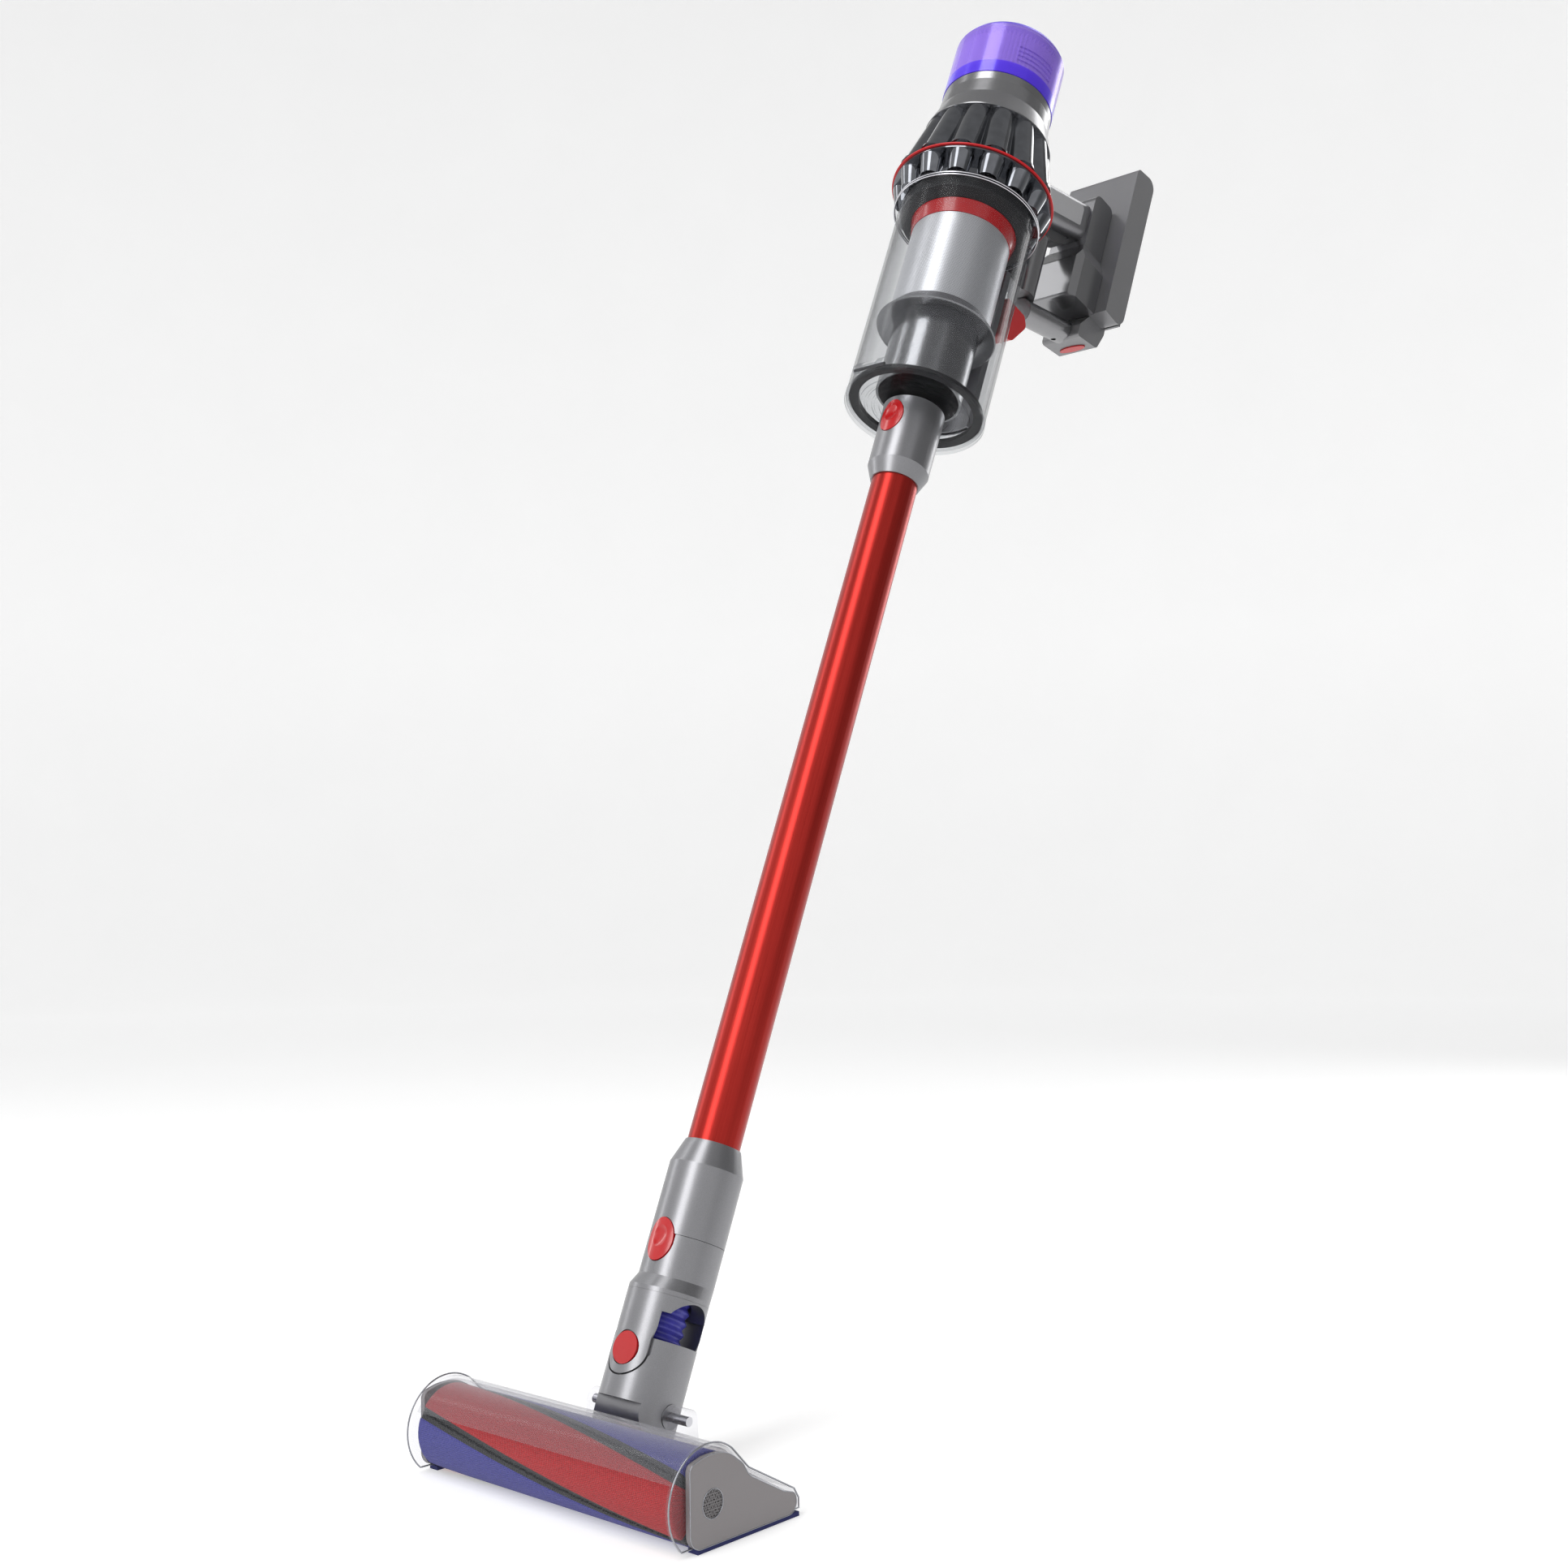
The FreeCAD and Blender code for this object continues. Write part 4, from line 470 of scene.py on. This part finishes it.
# %% [markdown]
# ## Pieces that follow a rule
# The roller, the hose, the pleats, the bristles and the screws all follow a rule: a wave along a
# path or one small part many times over. Geometry Nodes state the rule once, with its sizes as named
# inputs. The result is then turned into a plain mesh, because live modifiers don't export.


# %% A helper for Geometry Nodes
class Recipe(Tree):
    """A Geometry Nodes tree with named sizes."""

    def __init__(self, name, **sizes):
        self.name, self.sizes = name, sizes
        self.tree = bpy.data.node_groups.new(name, "GeometryNodeTree")
        self.ids = {}
        for label, size in sizes.items():
            kind = "NodeSocketInt" if isinstance(size, int) else "NodeSocketFloat"
            socket = self.tree.interface.new_socket(label, in_out="INPUT", socket_type=kind)
            self.ids[label] = socket.identifier
        self.tree.interface.new_socket("Geometry", in_out="OUTPUT",
                                       socket_type="NodeSocketGeometry")
        self.start = self.tree.nodes.new("NodeGroupInput")

    def size(self, label):
        """A named input."""
        return Value(self, self.start.outputs[label])

    def vector(self, across, behind, up):
        """Three numbers as one vector."""
        return self.node("ShaderNodeCombineXYZ", None, {"X": across, "Y": behind, "Z": up})

    def moved(self, geometry, position):
        """Geometry with each point put at a new position."""
        return self.node("GeometryNodeSetPosition", None,
                         {"Geometry": geometry, "Position": position})

    def joined(self, parts):
        """Several geometries as one."""
        whole = self.node("GeometryNodeJoinGeometry")
        for part in parts:
            self.tree.links.new(part.socket, whole.socket.node.inputs["Geometry"])
        return whole

    def make(self, geometry, finish, space=PLAIN, smooth=True):
        """Run the tree, and keep what it gives as a plain mesh in a space."""
        real = self.node("GeometryNodeRealizeInstances", None, {"Geometry": geometry})
        shaded = self.node("GeometryNodeSetShadeSmooth", None,
                           {"Geometry": real, "Shade Smooth": smooth})
        coated = self.node("GeometryNodeSetMaterial", None,
                           {"Geometry": shaded, "Material": finish})
        self.node("NodeGroupOutput", None, {"Geometry": coated})
        piece = bpy.data.objects.new(self.name, bpy.data.meshes.new(self.name))
        bpy.context.scene.collection.objects.link(piece)
        modifier = piece.modifiers.new(self.name, "NODES")
        modifier.node_group = self.tree
        for label, size in self.sizes.items():
            modifier[self.ids[label]] = size
        ready = piece.evaluated_get(bpy.context.evaluated_depsgraph_get())
        mesh = bpy.data.meshes.new_from_object(ready)
        piece.modifiers.clear()
        mesh.name = self.name
        mesh.transform(Matrix(space))
        piece.data = mesh
        print(self.name, len(mesh.polygons), "faces")
        return piece


# %% [markdown]
# ## The soft roller
# The roller is a tube wrapped in four spiral bands of woven plush, red and blue in turn, with a
# strip of dark bristles between each two. The plush stands a little proud of the strips. Its form
# is a cylinder whose radius dips wherever a strip runs, and the strips turn a third of a degree for
# each millimetre along it. Colour and form take the strips' place from the same sum.

# %% Roller plush
STRIP_TWIST = 0.344 / MM          # degrees for each metre along the roller
STRIP_START = 11.0                # degrees from the top, at the middle
HALF_STRIP = 0.085                # of a quarter turn
DIP_EDGE = 0.02                   # of a quarter turn, where the plush goes down to a strip
ROLLER_RADIUS = 27 * MM
SLEEVE_END = 118.4 * MM
END_ROUND, END_DROP = 1.2 * MM, 1.0 * MM


def roller_phase(angle, along):
    """Quarter turns round the roller from its first strip, kept above nought."""
    return (angle * (180 / math.pi) - STRIP_TWIST * along - STRIP_START) / 90.0 + 40.0


def from_strip(phase):
    """How far a point is from the nearest strip, in quarter turns."""
    return abs((phase + 0.5).maths("FRACT") - 0.5)


made = Shader("roller_plush")
along, forward, rise = made.axes(made.place())
angle = (ROLLER_AXIS.y - forward).maths("ARCTAN2", rise - ROLLER_AXIS.z)
phase = roller_phase(angle, along)
blue_side = (phase * 0.5).maths("FRACT") > 0.5
tuft = made.noise(made.stretched(made.place(), (520.0, 900.0, 900.0)), 1.0, detail=6.0,
                  rough=0.75)
weave = ((along * 3600.0 + angle * 40.0).maths("SINE")
         * (along * 1700.0 - angle * 95.0).maths("SINE"))
nap = tuft * 0.9 + weave * 0.22
red_plush = made.mixed(nap, paint(112, 8, 16), paint(214, 52, 58))
blue_plush = made.mixed(nap, paint(30, 30, 92), paint(92, 92, 182))
plush = made.mixed(blue_side, red_plush, blue_plush)
in_strip = from_strip(phase) < HALF_STRIP
plush = made.mixed(in_strip, plush, paint(46, 47, 50))
roller_plush = made.done(made.surface(
    plush, 0.85 - 0.25 * in_strip, 0.0, made.bump(nap, 1.2 * MM, 1.0),
    **{"Sheen Weight": 0.12, "Sheen Roughness": 0.4}))

plush_tree = Recipe("roller_plush_tube", radius=ROLLER_RADIUS, length=2 * SLEEVE_END,
                    dip=1.1 * MM, around=256, lengths=200)
tube = plush_tree.node("GeometryNodeMeshCylinder", None, {
    "Vertices": plush_tree.size("around"), "Side Segments": plush_tree.size("lengths"),
    "Radius": plush_tree.size("radius"), "Depth": plush_tree.size("length")})
across, behind, up = plush_tree.axes(plush_tree.node("GeometryNodeInputPosition"))
turn = behind.maths("ARCTAN2", across)
reach = (across * across + behind * behind).maths("SQRT")
strip = from_strip(roller_phase(turn, up))
dip = ((1 - strip / (HALF_STRIP + DIP_EDGE)).maths("MAXIMUM", 0.0) * 2.0).maths("MINIMUM", 1.0)
rounded = (1 - (SLEEVE_END - abs(up)) / END_ROUND).maths("MAXIMUM", 0.0)
on_wall = reach > ROLLER_RADIUS * 0.75
lower = reach - (dip * plush_tree.size("dip") + rounded * rounded * END_DROP) * on_wall
spot = plush_tree.vector(up, 0 - lower * turn.maths("SINE"), lower * turn.maths("COSINE"))
roller_plush_tube = plush_tree.make(plush_tree.moved(tube, spot), roller_plush,
                                    Matrix.Translation(ROLLER_AXIS))
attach(roller_plush_tube, "roller")
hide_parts("roller_sleeve")

# %% [markdown]
# ## Bristles in the strips
# Fine nylon bristles stand in the strips. One bristle is a five-sided spike. A tree puts eighteen
# hundred of them along the four spirals, each pointing straight out of the roller. A random turn
# with a fixed seed keeps them from standing in line.

# %% Bristles
JITTER = 1.6                      # degrees to either side of a strip's middle
TIP_RADIUS = 0.15 * MM

bristle_fibre = moulded("bristle_fibre", paint(52, 53, 57), 0.55, space=PLAIN, flake=0.15)
bristle_tree = Recipe("roller_bristles", count=1800, length=3.0 * MM, thick=0.42 * MM,
                      root=23.9 * MM, seed=3)
row = bristle_tree.node("GeometryNodeMeshLine", None, {"Count": bristle_tree.size("count")})
index = bristle_tree.node("GeometryNodeInputIndex")
share = (index / bristle_tree.size("count")) * 2.0 - 1.0
along = share * (SLEEVE_END - 1.5 * MM)
jitter = bristle_tree.node("FunctionNodeRandomValue", {"data_type": "FLOAT"},
                           {2: -JITTER, 3: JITTER, "Seed": bristle_tree.size("seed")}, out=1)
turn = ((index.maths("MODULO", 4.0) * 90.0 + along * STRIP_TWIST + STRIP_START + jitter)
        * (math.pi / 180))
outward = bristle_tree.vector(0.0, 0 - turn.maths("SINE"), turn.maths("COSINE"))
root = bristle_tree.node("ShaderNodeVectorMath", {"operation": "SCALE"},
                         {0: outward, "Scale": bristle_tree.size("root")})
spots = bristle_tree.moved(row, bristle_tree.node("ShaderNodeVectorMath", {"operation": "ADD"}, {
    0: root, 1: bristle_tree.vector(along, 0.0, 0.0)}))
spike = bristle_tree.node("GeometryNodeMeshCone", None, {
    "Vertices": 5, "Radius Top": TIP_RADIUS, "Radius Bottom": bristle_tree.size("thick"),
    "Depth": bristle_tree.size("length")})
stand = bristle_tree.node("FunctionNodeAlignRotationToVector", {"axis": "Z"}, {"Vector": outward})
spikes = bristle_tree.node("GeometryNodeInstanceOnPoints", None, {
    "Points": spots, "Instance": spike, "Rotation": stand})
roller_bristles = bristle_tree.make(spikes, bristle_fibre, Matrix.Translation(ROLLER_AXIS),
                                    smooth=False)
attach(roller_bristles, "roller")

# %% [markdown]
# ## The hose in the neck
# A thin corrugated hose carries the dust past the swivel. Its rib is one continuous spiral, so the
# radius follows the height and the angle together.

# %% Ribbed hose
made = Shader("hose_rubber")
grime = made.noise(made.place(WAND), 160.0, detail=4.0)
hose_tint = made.mixed(grime, paint(36, 34, 120), paint(78, 76, 190))
hose_rubber = made.done(made.surface(hose_tint, 0.4 + 0.15 * grime, 0.0, made.bump(grime, 0.1 * MM),
                                     **{"Coat Weight": 0.15}))

HOSE_LOW, HOSE_HIGH = 12.2 * MM, 73.3 * MM
HOSE_BEHIND = -3                  # millimetres from the wand's axis
hose_tree = Recipe("neck_hose_ribs", radius=15.3 * MM, rib=0.95 * MM, ribs=9.0, around=64,
                   lengths=216)
tube = hose_tree.node("GeometryNodeMeshCylinder", {"fill_type": "NONE"}, {
    "Vertices": hose_tree.size("around"), "Side Segments": hose_tree.size("lengths"),
    "Radius": hose_tree.size("radius"), "Depth": HOSE_HIGH - HOSE_LOW})
across, behind, up = hose_tree.axes(hose_tree.node("GeometryNodeInputPosition"))
turn = behind.maths("ARCTAN2", across)
wave = (up * (2 * math.pi / (HOSE_HIGH - HOSE_LOW)) * hose_tree.size("ribs") + turn).maths("SINE")
reach = hose_tree.size("radius") + hose_tree.size("rib") * wave
spot = hose_tree.vector(reach * turn.maths("COSINE"),
                        reach * turn.maths("SINE") + HOSE_BEHIND * MM,
                        up + (HOSE_LOW + HOSE_HIGH) / 2)
neck_hose_ribs = hose_tree.make(hose_tree.moved(tube, spot), hose_rubber, WAND)
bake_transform(neck_hose_ribs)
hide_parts("neck_hose")

# %% [markdown]
# ## Pleated filter
# The filter's paper is folded into close pleats to win area. Seen through the tinted shell, the
# folds read as fine upright lines. A sharp wave round a cylinder makes them.

# %% Filter pleats
made = Shader("filter_fleece")
fibre = made.noise(made.place(WAND), 900.0, detail=4.0)
fleece_tint = made.mixed(fibre, paint(206, 200, 224), paint(246, 244, 252))
filter_fleece = made.done(made.surface(fleece_tint, 0.9, 0.0, made.bump(fibre, 0.2 * MM, 0.6)))

DRUM_RADIUS = 40 * MM             # before the folds are put in
DRUM_MIDDLE = 1118.2 * MM         # up the wand
pleat_tree = Recipe("filter_pleats", inner=38.5 * MM, fold=6.4 * MM, folds=72, tall=40.3 * MM)
drum = pleat_tree.node("GeometryNodeMeshCylinder", None, {
    "Vertices": pleat_tree.size("folds") * 4.0, "Side Segments": 1, "Radius": DRUM_RADIUS,
    "Depth": pleat_tree.size("tall")})
across, behind, up = pleat_tree.axes(pleat_tree.node("GeometryNodeInputPosition"))
turn = behind.maths("ARCTAN2", across)
fold = abs(((turn / (2 * math.pi) + 2.0) * pleat_tree.size("folds")).maths("FRACT") - 0.5) * 2.0
edge = (across * across + behind * behind) > (DRUM_RADIUS / 2) ** 2
reach = (pleat_tree.size("inner") + pleat_tree.size("fold") * fold) * edge
spot = pleat_tree.vector(reach * turn.maths("COSINE"), reach * turn.maths("SINE"),
                         up + DRUM_MIDDLE)
filter_pleats = pleat_tree.make(pleat_tree.moved(drum, spot), filter_fleece, WAND, smooth=False)
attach(filter_pleats, "filter")
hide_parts("filter_media")

# %% [markdown]
# ## Screws
# Six self-tapping screws close the battery. One screw is a flat cone with a cross recess, made once
# in a tree, placed at each point and turned to face out of the battery's back.

# %% Screws
SCREW_RADIUS = 2.1 * MM
RECESS_LONG, RECESS_WIDE = 1.2, 0.26          # of the screw's radius
RECESS_TALL = 1.2 * MM
BACK_FACE = 190.0                             # millimetres behind the wand's axis
screw_steel = moulded("screw_steel", paint(120, 120, 124), 0.3, metal=1.0, flake=0.05)
screw_tree = Recipe("battery_screws", radius=SCREW_RADIUS, tall=0.9 * MM)
seats = [screw_tree.node("GeometryNodeMeshLine", None, {
    "Count": 1, "Start Location": tuple(Vector((side * 31, BACK_FACE, up)) * MM)})
    for side in (-1, 1) for up in (999, 1068, 1136)]
screw_head = screw_tree.node("GeometryNodeMeshCone", None, {
    "Vertices": 28, "Side Segments": 2, "Radius Top": screw_tree.size("radius") * 0.8,
    "Radius Bottom": screw_tree.size("radius"), "Depth": screw_tree.size("tall")})
for angle in (45, 135):
    bar = screw_tree.node("GeometryNodeMeshCube", None, {
        "Size": (SCREW_RADIUS * RECESS_LONG, SCREW_RADIUS * RECESS_WIDE, RECESS_TALL)})
    bar = screw_tree.node("GeometryNodeTransform", None, {
        "Geometry": bar, "Translation": (0, 0, RECESS_TALL),
        "Rotation": (0, 0, math.radians(angle))})
    screw_head = screw_tree.node("GeometryNodeMeshBoolean", {"operation": "DIFFERENCE"},
                                 {"Mesh 1": screw_head, "Mesh 2": bar})
backwards = screw_tree.node("FunctionNodeAlignRotationToVector", {"axis": "Z"},
                            {"Vector": (0, 1, 0)})
placed = screw_tree.node("GeometryNodeInstanceOnPoints", None, {
    "Points": screw_tree.joined(seats), "Instance": screw_head, "Rotation": backwards})
battery_screws = screw_tree.make(placed, screw_steel, WAND, smooth=False)
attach(battery_screws, "battery")

# %% [markdown]
# ## Rings round the top of the bin
# Two bright beads finish the rim of the clear bin. They are turned shapes, so each is a small
# circle swept round a large one.

# %% Rim rings
ring_tree = Recipe("bin_rim_rings", low=966.2 * MM, radius=61.25 * MM, bead=0.55 * MM,
                   apart=2.3 * MM)
rings = []
for rise in (0.0, ring_tree.size("apart")):
    path = ring_tree.node("GeometryNodeCurvePrimitiveCircle", None, {
        "Resolution": 128, "Radius": ring_tree.size("radius")})
    profile = ring_tree.node("GeometryNodeCurvePrimitiveCircle", None, {
        "Resolution": 10, "Radius": ring_tree.size("bead")})
    ring = ring_tree.node("GeometryNodeCurveToMesh", None,
                          {"Curve": path, "Profile Curve": profile})
    rings.append(ring_tree.node("GeometryNodeTransform", None, {
        "Geometry": ring,
        "Translation": ring_tree.vector(0.0, 0.0, ring_tree.size("low") + rise)}))
bin_rim_rings = ring_tree.make(ring_tree.joined(rings), steel, WAND)
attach(bin_rim_rings, "bin")

# %% [markdown]
# ## Edges of the clear hood
# A clear moulding shows its edges far more than its faces, because light gathers there. The outline
# of each end of the hood, and of the plate in it, is read from the frame piece's own mesh, and a
# fine bead is swept along it.

# %% Bright edges
SAME_POINT, SAME_LEVEL = 0.01 * MM, 0.2 * MM
FEWEST_POINTS = 12                # shorter outlines get no bead
glass_edge = moulded("glass_edge", paint(150, 152, 158), 0.1, metal=0.85, coat=0.5, space=PLAIN,
                     flake=0.2)


def outlines(name, level, side):
    """The closed outlines of a frame piece's flat face at a place along X, as lists of points."""
    shape = bmesh.new()
    shape.from_mesh(frame["nodes"][name].data)
    bmesh.ops.remove_doubles(shape, verts=shape.verts, dist=SAME_POINT)
    flat = [face for face in shape.faces if face.normal.x * side > 0.99
            and abs(face.calc_center_median().x - level) < SAME_LEVEL]
    inside = set(flat)
    edges = {edge for face in flat for edge in face.edges
             if sum(other in inside for other in edge.link_faces) == 1}
    loops = []
    while edges:
        edge = edges.pop()
        loop = [edge.verts[0], edge.verts[1]]
        while True:
            following = [near for near in loop[-1].link_edges if near in edges]
            if not following:
                break
            edges.discard(following[0])
            loop.append(following[0].other_vert(loop[-1]))
        if loop[0] is loop[-1] and len(loop) > FEWEST_POINTS:
            loops.append([vert.co.copy() for vert in loop[:-1]])
    shape.free()
    return loops


def beads(name, loops, thick):
    """Round beads along closed outlines on the head."""
    line = bpy.data.curves.new(name + "_line", "CURVE")
    line.dimensions = "3D"
    for points in loops:
        spline = line.splines.new("POLY")
        spline.points.add(len(points) - 1)
        spline.use_cyclic_u = True
        for place, point in zip(spline.points, points):
            place.co = (*point, 1.0)
    holder = bpy.data.objects.new(name + "_line", line)
    bpy.context.scene.collection.objects.link(holder)
    tree = Recipe(name, bead=thick)
    path = tree.node("GeometryNodeObjectInfo", None, {"Object": holder}).of("Geometry")
    profile = tree.node("GeometryNodeCurvePrimitiveCircle", None, {
        "Resolution": 8, "Radius": tree.size("bead")})
    swept = tree.node("GeometryNodeCurveToMesh", None,
                      {"Curve": path, "Profile Curve": profile})
    piece = tree.make(swept, glass_edge)
    bpy.data.objects.remove(holder)
    bpy.data.node_groups.remove(tree.tree)
    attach(piece, "head")


for name, node, side, thick in (("hood_edge_left", "head_housing", -1, 0.55 * MM),
                                ("hood_edge_right", "head_housing", 1, 0.55 * MM),
                                ("plate_edge_left", "end_plate_left", -1, 0.3 * MM),
                                ("plate_edge_right", "end_plate_right", 1, 0.3 * MM)):
    low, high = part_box(node)
    beads(name, outlines(node, high[0] if side > 0 else low[0], side), thick)

# %% [markdown]
# ## Studio
# A pale round floor that curves up into a wall, a tall soft light in front and narrow ones at the
# edges. The sheet glows a little, so that it stays white from every side. Metal shows what is round
# it, so the lights are long panels, which draw the long bright bands along the tube and the
# collars, and one part of the wall is shaded for the dark ones.


# %% Floor and lights
FLOOR_RADIUS, BEND, WALL_TOP = 5.5, 1.5, 7.0


def round_studio(around=96, steps=16):
    """A round floor that curves up into a wall on all sides, as one sheet facing inwards."""
    outline = [(0.6, 0.0), (FLOOR_RADIUS, 0.0)]
    outline += [(FLOOR_RADIUS + BEND * math.sin(t), BEND - BEND * math.cos(t))
                for t in (math.pi / 2 * i / steps for i in range(1, steps + 1))]
    outline.append((FLOOR_RADIUS + BEND, WALL_TOP))
    shape = bmesh.new()
    middle = shape.verts.new((0, 0, 0))
    turns = [(math.cos(t), math.sin(t))
             for t in (2 * math.pi * i / around for i in range(around))]
    rows = [[shape.verts.new((away * a, away * b, up)) for a, b in turns] for away, up in outline]
    for i in range(around):
        after = (i + 1) % around
        shape.faces.new((middle, rows[0][i], rows[0][after]))
        for low, high in zip(rows, rows[1:]):
            shape.faces.new((low[i], high[i], high[after], low[after]))
    mesh = bpy.data.meshes.new("floor")
    shape.to_mesh(mesh)
    for face in mesh.polygons:
        face.use_smooth = True
    return mesh


SHADE_AT = math.radians(130)      # azimuth of the shaded part of the wall
SHADE_FROM, SHADE_WIDE = 5.2, 1.6

made = Shader("pale_floor")
across, behind, up = made.axes(made.place())
that_way = across * math.sin(SHADE_AT) - behind * math.cos(SHADE_AT)
shaded = ((that_way - SHADE_FROM) / SHADE_WIDE).maths("MAXIMUM", 0.0)
shaded = (shaded * (up / BEND)).maths("MINIMUM", 1.0)
pale = made.noise(made.place(), 3.0)
pale_tint = made.mixed(pale, (0.72, 0.72, 0.72), (0.74, 0.74, 0.74))
wall_tint = made.mixed(shaded, pale_tint, (0.2, 0.2, 0.2))
floor = bpy.data.objects.new("floor", round_studio())
floor.data.materials.append(made.done(made.surface(wall_tint, 0.9, **{
    "Emission Color": wall_tint, "Emission Strength": 0.5})))
bpy.context.scene.collection.objects.link(floor)


AIM = Vector((0, 0.2, 0.6))


def panel(name, size, power, azimuth, elevation, distance):
    """A soft panel that looks at the cleaner's middle from a direction."""
    light = bpy.data.lights.new(name, "AREA")
    light.shape = "RECTANGLE"
    light.size, light.size_y = size
    light.energy = power
    holder = bpy.data.objects.new(name, light)
    side, rise = math.radians(azimuth), math.radians(elevation)
    away = Vector((math.sin(side) * math.cos(rise), -math.cos(side) * math.cos(rise),
                   math.sin(rise)))
    holder.matrix_world = (Matrix.Translation(AIM + away * distance)
                           @ away.to_track_quat("Z", "Y").to_matrix().to_4x4())
    bpy.context.scene.collection.objects.link(holder)


panel("key_panel", (1.0, 3.4), 50, 2, 44, 2.5)
panel("edge_panel", (0.3, 3.0), 10, -70, 30, 2.4)
panel("rim_panel", (0.5, 3.0), 14, 178, 30, 2.4)

world = bpy.data.worlds.new("studio")
world.use_nodes = True
backdrop = world.node_tree.nodes["Background"]
backdrop.inputs["Color"].default_value = (1, 1, 1, 1)
backdrop.inputs["Strength"].default_value = 0.4
bpy.context.scene.world = world
bpy.context.scene.view_settings.view_transform = "Standard"
print("lights:", len(bpy.data.lights), "floor faces:", len(floor.data.polygons))
